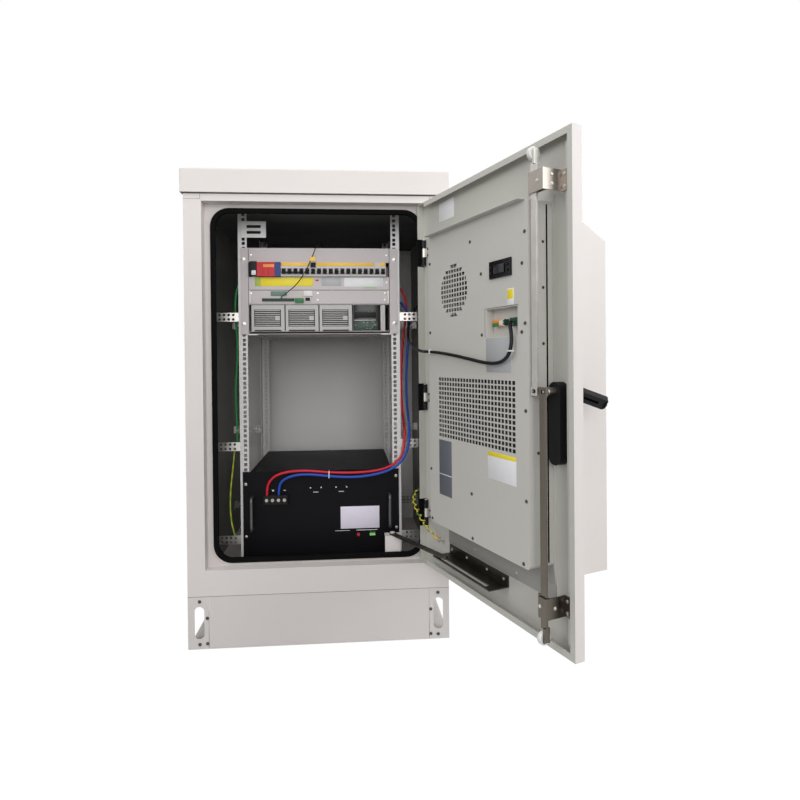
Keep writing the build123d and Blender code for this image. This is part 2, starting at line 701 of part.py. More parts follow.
with BuildPart() as wall_linings:
    lining_front, lining_rear = LIP_BACK + LINING_SETBACK, REAR - SHEET
    for side in (-1, 1):
        slab(side * WALL_IN, side * LINING_IN, lining_front, lining_rear, FLOOR_TOP, CEILING)
    slab(-LINING_IN + FIT, LINING_IN - FIT, lining_front, lining_rear, CEILING - LINING, CEILING)
keep(wall_linings, "wall_linings")

with BuildPart() as door_gasket:
    seal_front, seal_back = RECESS_DEPTH - SEAL_BULB, FRAME_RETURN + SEAL_BACK
    for start, length in ((seal_front, SEAL_BULB), (FRAME_RETURN, SEAL_BACK)):
        with BuildSketch(FACE.offset(-start)):
            with Locations((0, OPENING_MIDDLE)):
                RectangleRounded(OPENING_WIDTH + 2 * SEAL_OUT, OPENING_HEIGHT + 2 * SEAL_OUT,
                                 OPENING_RADIUS + SEAL_OUT)
                RectangleRounded(OPENING_WIDTH - 2 * SEAL_IN, OPENING_HEIGHT - 2 * SEAL_IN,
                                 OPENING_RADIUS - SEAL_IN, mode=Mode.SUBTRACT)
        extrude(amount=-length)
    with BuildSketch(FACE.offset(-seal_front)):
        with Locations((0, OPENING_MIDDLE)):
            RectangleRounded(OPENING_WIDTH - 2 * FIT, OPENING_HEIGHT - 2 * FIT, OPENING_RADIUS - FIT)
            RectangleRounded(OPENING_WIDTH - 2 * SEAL_IN, OPENING_HEIGHT - 2 * SEAL_IN,
                             OPENING_RADIUS - SEAL_IN, mode=Mode.SUBTRACT)
    extrude(amount=seal_front - seal_back)
keep(door_gasket, "door_gasket")

# Rack
for facing, face_y, name in ((1, RACK_FRONT, "front_posts"), (-1, RACK_REAR, "rear_posts")):
    with BuildPart() as rack_posts:
        heights = [RACK_BASE + unit * UNIT + rise for unit in range(RACK_UNITS) for rise in UNIT_HOLES]
        for side in (-1, 1):
            holes = [square(side * HOLE_HALF, height, HOLE_SIDE) for height in heights]
            inner, outer = sorted((side * POST_IN, side * POST_OUT))
            plate(Plane.XZ.offset(-face_y), inner, outer, FLOOR_TOP, RACK_TOP, holes, -facing * SHEET)
            slab(side * (POST_OUT - SHEET), side * POST_OUT, face_y, face_y + facing * POST_WEB,
                 FLOOR_TOP, RACK_TOP)
    keep(rack_posts, name)

with BuildPart() as rack_brackets:
    columns = range(-BRACKET_COLUMNS, BRACKET_COLUMNS)
    middle = (POST_OUT + LINING_IN) / 2
    for facing, face_y in ((1, RACK_FRONT), (-1, RACK_REAR)):
        plate_y = face_y + facing * BRACKET_SETBACK
        for side in (-1, 1):
            for units in BRACKET_UNITS:
                centre = RACK_BASE + units * UNIT
                low, high = centre - BRACKET_HEIGHT / 2, centre + BRACKET_HEIGHT / 2
                spots = [(side * middle + BRACKET_PITCH * (column + 1 / 2), centre + row * BRACKET_PITCH / 2)
                         for column in columns for row in (-1, 1)]
                holes = [Wire.make_circle(BRACKET_HOLE, Plane(origin=(x, z, 0))) for x, z in spots]
                inner, outer = sorted((side * POST_OUT, side * LINING_IN))
                plate(Plane.XZ.offset(-plate_y), inner, outer, low, high, holes, -facing * SHEET)
                for edge, step in ((POST_OUT, SHEET), (LINING_IN, -SHEET)):
                    slab(side * edge, side * (edge + step), plate_y, plate_y + facing * BRACKET_TAB,
                         low, high)
    for side in (-1, 1):
        for level in (BATTERY_BOTTOM, POWER_BOTTOM):
            slab(side * POST_IN, side * (POST_IN - RAIL_WIDTH), RACK_FRONT + SHEET, RACK_REAR - SHEET,
                 level - SHEET, level)
            slab(side * POST_IN, side * (POST_IN - SHEET), RACK_FRONT, RACK_REAR,
                 level - SHEET, level + RAIL_LEG)
keep(rack_brackets, "rack_brackets")

with BuildPart() as slotted_plate:
    plate_z = RACK_TOP - SLOTTED_UNITS_DOWN * UNIT
    slab(-SLOTTED_START, SLOTTED_WIDTH - SLOTTED_START, RACK_FRONT - SHEET, RACK_FRONT,
         plate_z, plate_z + SLOTTED_HEIGHT)
    with BuildSketch(Plane.XZ.offset(-RACK_FRONT)):
        with Locations((SLOTTED_WIDTH / 2 - SLOTTED_START, plate_z + SLOTTED_HEIGHT / 2)):
            with GridLocations(0, SLOT_PITCH, 1, 2):
                Rectangle(SLOT_LONG, SLOT_TALL)
    extrude(amount=OVERRUN, both=True, mode=Mode.SUBTRACT)
keep(slotted_plate, "slotted_plate")

# Power unit
with BuildPart() as power_case:
    power_rear = EAR_FRONT + POWER_DEPTH
    case_in = RACK_BODY_HALF - POWER_SHEET
    slab(-RACK_BODY_HALF, RACK_BODY_HALF, EAR_FRONT, power_rear, POWER_BOTTOM, POWER_TOP)
    slab(-case_in, case_in, EAR_FRONT, power_rear - POWER_SHEET,
         POWER_BOTTOM + POWER_SHEET, POWER_TOP - POWER_SHEET, mode=Mode.SUBTRACT)
    for side in (-1, 1):
        slab(side * RACK_BODY_HALF, side * EAR_HALF, EAR_FRONT, RACK_FRONT, POWER_BOTTOM, POWER_TOP)
    for shelf in (MODULE_BOTTOM - POWER_SHEET, MODULE_TOP + POWER_SHEET):
        slab(-RACK_BODY_HALF, RACK_BODY_HALF, EAR_FRONT, power_rear, shelf, shelf + POWER_SHEET)
    slab(-RACK_BODY_HALF, RACK_BODY_HALF, DIN_FRONT, DIN_FRONT + DIN_THICK,
         ROW_MIDDLE - DIN_HEIGHT / 2, ROW_MIDDLE + DIN_HEIGHT / 2)
keep(power_case, "power_case")

with BuildPart() as power_fascia:
    panel_half = case_in - FIT
    panel_back = EAR_FRONT + POWER_SHEET
    for low, high in (
        (FASCIA_START, FASCIA_SPLIT - FASCIA_GAP),
        (FASCIA_SPLIT, WINDOW_BOTTOM),
        (WINDOW_TOP, POWER_TOP - POWER_SHEET - FIT),
    ):
        slab(-panel_half, panel_half, EAR_FRONT, panel_back, low, high)
keep(power_fascia, "power_fascia")


def pole_x(count):
    """The middle of a pole of the breaker row, counted from one after the arresters."""
    return POLE * (ARRESTER_COUNT + count - 1 / 2) - ROW_START


def toggle_solid(x):
    """A breaker's toggle with its axle, switched off."""
    with BuildPart(Plane.YZ.offset(x)) as toggle:
        with Locations((TOGGLE_AXIS, TOGGLE_HEIGHT)):
            Cylinder(TOGGLE_RADIUS, TOGGLE_WIDTH)
            Cylinder(TOGGLE_AXLE, POLE - 2 * AXLE_REACH)
        tilt = Plane.YZ.offset(x).location * Location((TOGGLE_AXIS, TOGGLE_HEIGHT), (0, 0, TOGGLE_ANGLE))
        with BuildSketch(Plane(tilt)):
            with Locations((-TOGGLE_REACH / 2, 0)):
                Rectangle(TOGGLE_REACH, TOGGLE_THICK)
        extrude(amount=TOGGLE_WIDTH / 2, both=True)
    return toggle.part


with BuildPart() as breaker_bank:
    nose_low, nose_high = WINDOW_BOTTOM + NOSE_GAP, WINDOW_TOP - NOSE_GAP
    body_low, body_high = ROW_MIDDLE - BREAKER_HEIGHT / 2, ROW_MIDDLE + BREAKER_HEIGHT / 2
    half = (POLE - POLE_GAP) / 2
    poles = [pole_x(count) for count in range(1, BREAKER_COUNT + 1)]
    moving = [pole_x(count) for count in (*range(1, GANG_COUNT + 1), *LOOSE_TOGGLES)]
    with Locations(*[(x, (BODY_FRONT + DIN_FRONT) / 2, ROW_MIDDLE) for x in poles]):
        Box(2 * half, DIN_FRONT - BODY_FRONT, BREAKER_HEIGHT)
    with Locations(*[(x, (NOSE_FRONT + BODY_FRONT) / 2, ROW_MIDDLE) for x in poles]):
        Box(2 * half, BODY_FRONT - NOSE_FRONT, nose_high - nose_low)
    with Locations(*[(x, NOSE_FRONT + TOGGLE_RADIUS, TOGGLE_HEIGHT) for x in poles]):
        Box(TOGGLE_WIDTH + 2 * POCKET_PLAY, 2 * TOGGLE_RADIUS, POCKET_TALL, mode=Mode.SUBTRACT)
    with Locations(*[(x, TOGGLE_AXIS, TOGGLE_HEIGHT) for x in moving]):
        Cylinder(TOGGLE_AXLE + AXLE_PLAY, POLE - 2 * AXLE_REACH + 2 * AXLE_PLAY, rotation=(0, 90, 0),
                 mode=Mode.SUBTRACT)
    add([toggle_solid(x) for x in poles if x not in moving])
keep(breaker_bank, "breaker_bank")

with BuildPart() as main_toggle:
    for count in range(1, GANG_COUNT + 1):
        add(toggle_solid(pole_x(count)))
    with BuildSketch(Plane.YZ.offset(pole_x(1))):
        tilted = radians(TOGGLE_ANGLE)
        reach = TOGGLE_REACH - TIE_THICK / 2
        with Locations((TOGGLE_AXIS - reach * cos(tilted), TOGGLE_HEIGHT - reach * sin(tilted))):
            Rectangle(TIE_THICK, TIE_THICK, rotation=TOGGLE_ANGLE)
    extrude(amount=pole_x(GANG_COUNT) - pole_x(1))
keep(main_toggle, "main_toggle")

for count in LOOSE_TOGGLES:
    with BuildPart() as breaker_toggle:
        add(toggle_solid(pole_x(count)))
    keep(breaker_toggle, f"breaker_toggle_{count}")

with BuildPart() as surge_arresters:
    for count in range(ARRESTER_COUNT):
        x = pole_x(count - ARRESTER_COUNT + 1)
        slab(x - half, x + half, BODY_FRONT, DIN_FRONT, body_low, body_high)
        slab(x - half, x + half, EAR_FRONT - ARRESTER_PROUD, BODY_FRONT, nose_low, nose_high)
keep(surge_arresters, "surge_arresters")

with BuildPart() as rectifier_modules:
    module_front = EAR_FRONT - MODULE_PROUD
    for count in range(MODULE_COUNT):
        x0 = count * MODULE_PITCH - MODULE_START
        x1 = x0 + MODULE_WIDTH
        slab(x0, x1, module_front, module_front + MODULE_DEPTH, MODULE_BOTTOM, MODULE_TOP - FIT)
        latch_z = (MODULE_BOTTOM + MODULE_TOP) / 2
        slab(x1 - 2 * LATCH_SIDE, x1 - LATCH_SIDE, module_front - LATCH_PROUD, module_front,
             latch_z - LATCH_SIDE / 2, latch_z + LATCH_SIDE / 2)
keep(rectifier_modules, "rectifier_modules")

with BuildPart() as monitor_module:
    x0 = MODULE_COUNT * MODULE_PITCH - MODULE_START
    slab(x0, x0 + MONITOR_WIDTH, EAR_FRONT, EAR_FRONT + MONITOR_DEPTH, MODULE_BOTTOM, MODULE_TOP - FIT)
keep(monitor_module, "monitor_module")

# Battery unit
ROCKER_Z = BATTERY_BOTTOM + ROCKER_RISE
BUTTON_Z = BATTERY_BOTTOM + BUTTON_RISE
TERMINAL_Z = BATTERY_BOTTOM + TERMINAL_RISE
with BuildPart() as battery_case:
    slab(-RACK_BODY_HALF, RACK_BODY_HALF, RACK_FRONT, RACK_FRONT + BATTERY_DEPTH, BATTERY_BOTTOM, BATTERY_TOP)
    slab(-EAR_HALF, EAR_HALF, EAR_FRONT, RACK_FRONT, BATTERY_BOTTOM, BATTERY_TOP)
    for x in PORT_X:
        port_z = BATTERY_BOTTOM + PORT_RISE
        slab(x - PORT_WIDTH / 2, x + PORT_WIDTH / 2, EAR_FRONT - PORT_PROUD, EAR_FRONT,
             port_z - PORT_HEIGHT / 2, port_z + PORT_HEIGHT / 2)
    with BuildSketch(Plane.XZ.offset(-EAR_FRONT)):
        with Locations((BUTTON_X, BUTTON_Z)):
            Circle(BUTTON_RADIUS + BUTTON_PLAY)
    extrude(amount=-BUTTON_DEEP, mode=Mode.SUBTRACT)
    rocker_x, rocker_z = ROCKER_WIDTH / 2 + ROCKER_PLAY, ROCKER_HEIGHT / 2 + ROCKER_PLAY
    slab(ROCKER_X - rocker_x, ROCKER_X + rocker_x, EAR_FRONT, EAR_FRONT + ROCKER_DEEP,
         ROCKER_Z - rocker_z, ROCKER_Z + rocker_z, mode=Mode.SUBTRACT)
    with BuildSketch(Plane.YZ.offset(ROCKER_X)):
        with Locations((EAR_FRONT + ROCKER_DEEP / 2, ROCKER_Z)):
            Circle(ROCKER_AXLE + AXLE_PLAY)
    extrude(amount=rocker_x + ROCKER_REACH, both=True, mode=Mode.SUBTRACT)
keep(battery_case, "battery_case")

with BuildPart() as battery_handles:
    for side in (-1, 1):
        x = side * BATTERY_HANDLE_X
        low = BATTERY_BOTTOM + HANDLE_LOW + HANDLE_BAR
        high = low + HANDLE_SPAN - 2 * HANDLE_BAR
        with BuildLine():
            FilletPolyline((x, EAR_FRONT, low), (x, EAR_FRONT - HANDLE_REACH, low),
                           (x, EAR_FRONT - HANDLE_REACH, high), (x, EAR_FRONT, high), radius=HANDLE_BEND)
        with BuildSketch(Plane(origin=(x, EAR_FRONT, low), z_dir=(0, -1, 0))):
            Circle(HANDLE_BAR)
        sweep()
keep(battery_handles, "battery_handles")

with BuildPart() as battery_terminals:
    terminal_low, terminal_high = TERMINAL_Z - TERMINAL_HEIGHT / 2, TERMINAL_Z + TERMINAL_HEIGHT / 2
    slab(TERMINAL_X - TERMINAL_WIDTH / 2, TERMINAL_X + TERMINAL_WIDTH / 2, EAR_FRONT - TERMINAL_DEPTH,
         EAR_FRONT, terminal_low, terminal_high)
    pole_pitch = TERMINAL_WIDTH / TERMINAL_POLES
    for fin in range(TERMINAL_POLES + 1):
        x = TERMINAL_X - TERMINAL_WIDTH / 2 + fin * (TERMINAL_WIDTH - TERMINAL_FIN) / TERMINAL_POLES
        slab(x, x + TERMINAL_FIN, EAR_FRONT - TERMINAL_DEPTH - TERMINAL_SCREW_PROUD,
             EAR_FRONT - TERMINAL_DEPTH, terminal_low, terminal_high)
    with BuildSketch(Plane.XZ.offset(TERMINAL_DEPTH - EAR_FRONT)):
        with Locations((TERMINAL_X, TERMINAL_Z)):
            with GridLocations(pole_pitch, 0, TERMINAL_POLES, 1):
                Circle(TERMINAL_SCREW)
    extrude(amount=TERMINAL_SCREW_PROUD)
keep(battery_terminals, "battery_terminals")

with BuildPart() as battery_button:
    with BuildSketch(Plane.XZ.offset(BUTTON_PROUD - EAR_FRONT)):
        with Locations((BUTTON_X, BUTTON_Z)):
            Circle(BUTTON_RADIUS)
    extrude(amount=-(BUTTON_PROUD + BUTTON_DEEP / 2))
keep(battery_button, "battery_button")

with BuildPart() as battery_rocker:
    rocker_front = EAR_FRONT - ROCKER_PROUD
    rocker_back = EAR_FRONT + ROCKER_DEEP / 2 + ROCKER_AXLE + ROCKER_PROUD / 2
    with BuildSketch(Plane.YZ.offset(ROCKER_X)):
        with BuildLine():
            Polyline((rocker_back, ROCKER_Z - ROCKER_HEIGHT / 4),
                     (rocker_front, ROCKER_Z - ROCKER_HEIGHT / 2),
                     (EAR_FRONT, ROCKER_Z), (rocker_front - ROCKER_KICK, ROCKER_Z + ROCKER_HEIGHT / 2),
                     (rocker_back, ROCKER_Z + ROCKER_HEIGHT / 4), close=True)
        make_face()
    extrude(amount=ROCKER_WIDTH / 2, both=True)
    with BuildSketch(Plane.YZ.offset(ROCKER_X)):
        with Locations((EAR_FRONT + ROCKER_DEEP / 2, ROCKER_Z)):
            Circle(ROCKER_AXLE)
    extrude(amount=ROCKER_WIDTH / 2 + ROCKER_REACH, both=True)
keep(battery_rocker, "battery_rocker")

# Hinges
with BuildPart() as hinge_frame_leaves:
    foot_front = LIP_FACE - LEAF_WEB
    for height in HINGE_HEIGHTS:
        low, high = height - HINGE_LENGTH / 2, height + HINGE_LENGTH / 2
        inner_low, inner_high = height - HINGE_MIDDLE / 2, height + HINGE_MIDDLE / 2
        for z0, z1 in ((low, inner_low), (inner_high, high)):
            with BuildSketch(Plane.XY.offset(z0)):
                with Locations((PIVOT_X, PIVOT_Y)):
                    Circle(HINGE_RADIUS)
            extrude(amount=z1 - z0)
        slab(PIVOT_X - LEAF_WEB / 2, PIVOT_X + LEAF_WEB / 2, PIVOT_Y, foot_front, low, high)
        slab(PIVOT_X - LEAF_WEB / 2, PIVOT_X + LEAF_FOOT, foot_front, LIP_FACE, low, high)
        with BuildSketch(Plane.XY.offset(inner_low)):
            with Locations((PIVOT_X, PIVOT_Y)):
                Circle(HINGE_RADIUS + LEAF_RELIEF)
        extrude(amount=HINGE_MIDDLE, mode=Mode.SUBTRACT)
        with BuildSketch(Plane.XY.offset(low)):
            with Locations((PIVOT_X, PIVOT_Y)):
                Circle(PIN_RADIUS + PIN_FIX)
        extrude(amount=HINGE_LENGTH, mode=Mode.SUBTRACT)
keep(hinge_frame_leaves, "hinge_frame_leaves")

with BuildPart() as hinge_pins:
    for height in HINGE_HEIGHTS:
        with BuildSketch(Plane.XY.offset(height - HINGE_LENGTH / 2)):
            with Locations((PIVOT_X, PIVOT_Y)):
                Circle(PIN_RADIUS)
        extrude(amount=HINGE_LENGTH)
        with BuildSketch(Plane.XY.offset(height + HINGE_LENGTH / 2)):
            with Locations((PIVOT_X, PIVOT_Y)):
                Circle(PIN_HEAD)
        extrude(amount=PIN_HEAD_THICK)
keep(hinge_pins, "hinge_pins")

with BuildPart(DOOR) as hinge_door_leaves:
    for height in HINGE_HEIGHTS:
        low = height - HINGE_MIDDLE / 2 + HINGE_PLAY
        high = height + HINGE_MIDDLE / 2 - HINGE_PLAY
        slab(0, DOOR_LEAF_REACH, low, high, SKIN_IN, SKIN_IN + DOOR_LEAF_THICK)
        with BuildSketch(Plane.XY.offset(low)):
            with Locations((PIVOT_X, PIVOT_Y)):
                Circle(HINGE_RADIUS)
        extrude(amount=high - low)
        with BuildSketch(Plane.XY.offset(low)):
            with Locations((PIVOT_X, PIVOT_Y)):
                Circle(PIN_RADIUS + PIN_PLAY)
        extrude(amount=high - low, mode=Mode.SUBTRACT)
keep(hinge_door_leaves, "hinge_door_leaves")

# Door
with BuildPart(DOOR) as door_pan:
    slab(HINGE_EDGE, FREE_EDGE, DOOR_BOTTOM, DOOR_TOP, SKIN_OUT, RIM)
    slab(HINGE_EDGE + SHEET, FREE_EDGE - SHEET, DOOR_BOTTOM + SHEET, DOOR_TOP - SHEET, SKIN_IN, RIM,
         mode=Mode.SUBTRACT)
    lip_start = DOOR_LEAF_REACH
    slab(FREE_EDGE - DOOR_LIP, FREE_EDGE, DOOR_BOTTOM, DOOR_TOP, RIM - SHEET, RIM)
    slab(lip_start, FREE_EDGE, DOOR_BOTTOM, DOOR_BOTTOM + DOOR_LIP, RIM - SHEET, RIM)
    slab(lip_start, FREE_EDGE, DOOR_TOP - DOOR_LIP, DOOR_TOP, RIM - SHEET, RIM)
    stiff_low, stiff_high = DOOR_BOTTOM + STIFFENER_END, DOOR_TOP - STIFFENER_END
    slab(STIFFENER_U, STIFFENER_U + SHEET, stiff_low, stiff_high, SKIN_IN, STIFFENER_TOP)
    slab(STIFFENER_U, FREE_EDGE - SHEET, stiff_low, stiff_high, STIFFENER_TOP - SHEET, STIFFENER_TOP)
    slot_u = (GUIDE_FOOT_END + FREE_EDGE - DOOR_LIP) / 2
    for start in GUIDE_START:
        slot_z = start + GUIDE_HEIGHT / 2
        slab(slot_u - STIFFENER_SLOT / 2, slot_u + STIFFENER_SLOT / 2, slot_z - STIFFENER_SLOT_LENGTH / 2,
             slot_z + STIFFENER_SLOT_LENGTH / 2, STIFFENER_TOP - SHEET, STIFFENER_TOP, mode=Mode.SUBTRACT)
    slab(AC_U0 + AC_CUT_INSET, AC_U1 - AC_CUT_INSET, AC_Z0 + AC_CUT_INSET, AC_Z1 - AC_CUT_INSET,
         SKIN_OUT, SKIN_IN, mode=Mode.SUBTRACT)
    for height in HINGE_HEIGHTS:
        reach = HINGE_LENGTH / 2 + NOTCH_PLAY
        slab(HINGE_EDGE, HINGE_EDGE + SHEET, height - reach, height + reach, SKIN_IN, RIM, mode=Mode.SUBTRACT)
    with BuildSketch(DOOR.offset(SKIN_OUT)):
        with Locations((SPINDLE_U, HOUSING_Z)):
            SlotOverall(HOUSING_LENGTH + 2 * FIT, HOUSING_WIDTH + 2 * FIT, rotation=90)
    extrude(amount=SHEET, mode=Mode.SUBTRACT)
    with BuildSketch(DOOR.offset(SKIN_IN)):
        with Locations((STUD_U, STUD_Z)):
            Circle(STUD_RADIUS)
    extrude(amount=STUD_LENGTH)
keep(door_pan, "door_pan")

# Air conditioner
with BuildPart(DOOR) as ac_housing:
    with BuildSketch(DOOR.offset(SKIN_IN)):
        with Locations(((AC_U0 + AC_U1) / 2, (AC_Z0 + AC_Z1) / 2)):
            RectangleRounded(AC_WIDTH, AC_HEIGHT, AC_CORNER)
    extrude(amount=AC_STAND)
    with BuildSketch(DOOR.offset(AC_BACK)):
        with Locations(((AC_U0 + AC_U1) / 2, (AC_Z0 + AC_Z1) / 2)):
            RectangleRounded(AC_WIDTH - 2 * AC_SHEET, AC_HEIGHT - 2 * AC_SHEET, AC_CORNER - AC_SHEET)
    extrude(amount=AC_STAND - 2 * AC_SHEET, mode=Mode.SUBTRACT)
    slab(AC_U0 - AC_FLANGE, AC_U1 + AC_FLANGE / 2, AC_Z0 - AC_SILL, AC_Z1 + AC_FLANGE, SKIN_IN, AC_BACK)
    with BuildSketch(DOOR.offset(AC_FACE)):
        reach = int(FAN_GRILLE_RADIUS / GRILLE_PITCH)
        for step in range(-reach, reach + 1):
            rise = step * GRILLE_PITCH
            with Locations((FAN_U, FAN_Z + rise)):
                Rectangle(2 * sqrt(FAN_GRILLE_RADIUS ** 2 - rise ** 2), GRILLE_HOLE)
        with Locations((AC_U0 + GRILLE_U, AC_Z0 + GRILLE_Z)):
            with GridLocations(0, GRILLE_PITCH, 1, GRILLE_ROWS):
                Rectangle(GRILLE_WIDTH, GRILLE_HOLE)
    extrude(amount=-AC_SHEET, mode=Mode.SUBTRACT)
    pocket_u, pocket_z = AC_U0 + POCKET_U, AC_Z0 + POCKET_Z
    pocket_half_u, pocket_half_z = POCKET_WIDTH / 2, POCKET_HEIGHT / 2
    pocket_floor = AC_FACE - POCKET_DEEP
    slab(pocket_u - pocket_half_u - AC_SHEET, pocket_u + pocket_half_u + AC_SHEET,
         pocket_z - pocket_half_z - AC_SHEET, pocket_z + pocket_half_z + AC_SHEET,
         pocket_floor - AC_SHEET, AC_FACE)
    slab(pocket_u - pocket_half_u, pocket_u + pocket_half_u, pocket_z - pocket_half_z,
         pocket_z + pocket_half_z, pocket_floor, AC_FACE, mode=Mode.SUBTRACT)
    inner_motor_end = AC_BACK + INNER_MOTOR_LENGTH
    outer_motor_end = SKIN_OUT - OUTER_MOTOR_LENGTH
    for u, z, radius, start, end in (
        (FAN_U, FAN_Z, INNER_MOTOR_RADIUS, AC_BACK, inner_motor_end),
        (FAN_U, FAN_Z, INNER_SHAFT, inner_motor_end, inner_motor_end + INNER_FAN_WIDTH - SHAFT_SHORT),
        (OUTER_FAN_U, OUTER_FAN_CENTRE, OUTER_MOTOR_RADIUS, SKIN_IN, outer_motor_end),
        (OUTER_FAN_U, OUTER_FAN_CENTRE, OUTER_SHAFT, outer_motor_end,
         outer_motor_end - OUTER_FAN_WIDTH + SHAFT_SHORT),
    ):
        with BuildSketch(DOOR.offset(start)):
            with Locations((u, z)):
                Circle(radius)
        extrude(amount=end - start)
keep(ac_housing, "ac_housing")


def fan_solid(u, z, start, width, hub, tip, bore):
    """A fan wheel on the door: a hub with pitched blades, from start along the door's n axis."""
    with BuildPart(DOOR) as wheel:
        with Locations((u, z, start + width / 2)):
            Cylinder(hub, abs(width))
            with PolarLocations((hub + tip) / 2, FAN_BLADES):
                chord = abs(width) / sin(radians(BLADE_PITCH)) - 2 * BLADE_THICK
                Box(tip - hub + BLADE_THICK, chord, BLADE_THICK, rotation=(BLADE_PITCH, 0, 0))
            Cylinder(bore, 2 * abs(width), mode=Mode.SUBTRACT)
    return wheel.part


with BuildPart() as ac_inner_fan:
    add(fan_solid(FAN_U, FAN_Z, inner_motor_end + FAN_GAP, INNER_FAN_WIDTH, INNER_HUB, INNER_FAN_RADIUS,
                  INNER_SHAFT + AXLE_PLAY))
keep(ac_inner_fan, "ac_inner_fan")

with BuildPart() as ac_outer_fan:
    add(fan_solid(OUTER_FAN_U, OUTER_FAN_CENTRE, outer_motor_end - FAN_GAP, -OUTER_FAN_WIDTH, OUTER_HUB,
                  OUTER_FAN_RADIUS, OUTER_SHAFT + AXLE_PLAY))
keep(ac_outer_fan, "ac_outer_fan")

with BuildPart() as ac_cover:
    profile = Plane(origin=door_point(COVER_U0, 0, 0), x_dir=-DOOR_N, z_dir=DOOR_U)
    cover_top, cover_bend = COVER_Z0 + COVER_HEIGHT, COVER_Z0 + COVER_FRONT_HEIGHT
    with BuildSketch(profile):
        with BuildLine():
            Polyline((-SKIN_OUT, COVER_Z0), (-COVER_FACE, COVER_Z0), (-COVER_FACE, cover_bend),
                     (-SKIN_OUT, cover_top), close=True)
        make_face()
    extrude(amount=COVER_WIDTH)
    slope = (cover_top - cover_bend) / COVER_STAND
    drop = AC_SHEET * sqrt(1 + slope ** 2)
    with BuildSketch(profile.offset(AC_SHEET)):
        with BuildLine():
            Polyline((-SKIN_OUT, COVER_Z0 + AC_SHEET), (-COVER_FACE - AC_SHEET, COVER_Z0 + AC_SHEET),
                     (-COVER_FACE - AC_SHEET, cover_bend + slope * AC_SHEET - drop),
                     (-SKIN_OUT, cover_top - drop), close=True)
        make_face()
    extrude(amount=COVER_WIDTH - 2 * AC_SHEET, mode=Mode.SUBTRACT)
    with BuildSketch(DOOR.offset(COVER_FACE)):
        for step in range(LOUVRE_COUNT):
            with Locations((OUTER_FAN_U, COVER_Z0 + LOUVRE_RISE + step * LOUVRE_PITCH)):
                SlotOverall(COVER_WIDTH - 2 * LOUVRE_INSET, LOUVRE_TALL)
        for step in range(-FAN_SLOT_STEPS, FAN_SLOT_STEPS + 1):
            rise = step * FAN_SLOT_PITCH
            chord = 2 * sqrt(FAN_SLOT_RADIUS ** 2 - rise ** 2)
            with Locations((OUTER_FAN_U, OUTER_FAN_CENTRE + rise)):
                SlotOverall(chord, FAN_SLOT_TALL)
    extrude(amount=AC_SHEET, mode=Mode.SUBTRACT)
keep(ac_cover, "ac_cover")

with BuildPart(DOOR) as ac_coils:
    evaporator_u0 = AC_U0 + GRILLE_U - EVAPORATOR_WIDTH / 2
    evaporator_z0 = AC_Z0 + GRILLE_Z - EVAPORATOR_HEIGHT / 2
    condenser_u0, condenser_z0 = COVER_U0 + CONDENSER_INSET, COVER_Z0 + CONDENSER_RISE
    for u0, z0, width, height, base, tip in (
        (evaporator_u0, evaporator_z0, EVAPORATOR_WIDTH, EVAPORATOR_HEIGHT, AC_BACK,
         AC_BACK + EVAPORATOR_DEPTH),
        (condenser_u0, condenser_z0, CONDENSER_WIDTH, CONDENSER_HEIGHT, SKIN_OUT, SKIN_OUT - CONDENSER_DEPTH),
    ):
        slab(u0, u0 + width, z0, z0 + height, base, tip)
        deep = FIN_DEEP if tip > base else -FIN_DEEP
        with Locations((u0 + width / 2, z0 + height / 2, tip - deep / 2)):
            with GridLocations(width / COIL_FINS, 0, COIL_FINS - 1, 1):
                Box(FIN_GAP, height, FIN_DEEP, mode=Mode.SUBTRACT)
keep(ac_coils, "ac_coils")

with BuildPart() as ac_compressor:
    stand = door_point(COVER_U0 + COMPRESSOR_U, COVER_Z0 + AC_SHEET, SKIN_OUT - COMPRESSOR_N)
    with BuildSketch(Plane(origin=stand)):
        Circle(COMPRESSOR_RADIUS)
    extrude(amount=COMPRESSOR_HEIGHT)
    fillet(ac_compressor.faces().sort_by(Axis.Z)[-1].edges(), COMPRESSOR_DOME)
keep(ac_compressor, "ac_compressor")

with BuildPart(DOOR) as ac_display:
    u, z = AC_U0 + DISPLAY_U, AC_Z0 + DISPLAY_Z
    half_u, half_z = DISPLAY_WIDTH / 2, DISPLAY_HEIGHT / 2
    display_top = AC_FACE + DISPLAY_THICK
    slab(u - half_u, u + half_u, z - half_z, z + half_z, AC_FACE, display_top)
    slab(u - half_u + DISPLAY_WINDOW, u + half_u - DISPLAY_WINDOW, z - half_z + DISPLAY_WINDOW,
         z + half_z - DISPLAY_WINDOW, display_top - DISPLAY_SUNK, display_top, mode=Mode.SUBTRACT)
keep(ac_display, "ac_display")

with BuildPart(DOOR) as ac_terminals:
    block_u0 = pocket_u - pocket_half_u + TERMINALS_DEEP
    block_u1 = block_u0 + TERMINALS_WIDTH
    block_top = pocket_floor + TERMINALS_DEEP
    slab(block_u0, block_u1, pocket_z - TERMINALS_TALL / 2, pocket_z + TERMINALS_TALL / 2,
         pocket_floor, block_top)
    with Locations(((block_u0 + block_u1) / 2, pocket_z, block_top)):
        with GridLocations(TERMINALS_WIDTH / TERMINALS_WAYS, 0, TERMINALS_WAYS, 1):
            Box(TERMINALS_WAY, TERMINALS_WAY, TERMINALS_WAY, mode=Mode.SUBTRACT)
    board_u1 = pocket_u + pocket_half_u - TERMINALS_WAY
    slab(board_u1 - BOARD_WIDTH, board_u1, pocket_z - BOARD_TALL / 2, pocket_z + BOARD_TALL / 2,
         pocket_floor, pocket_floor + BOARD_THICK)
keep(ac_terminals, "ac_terminals")

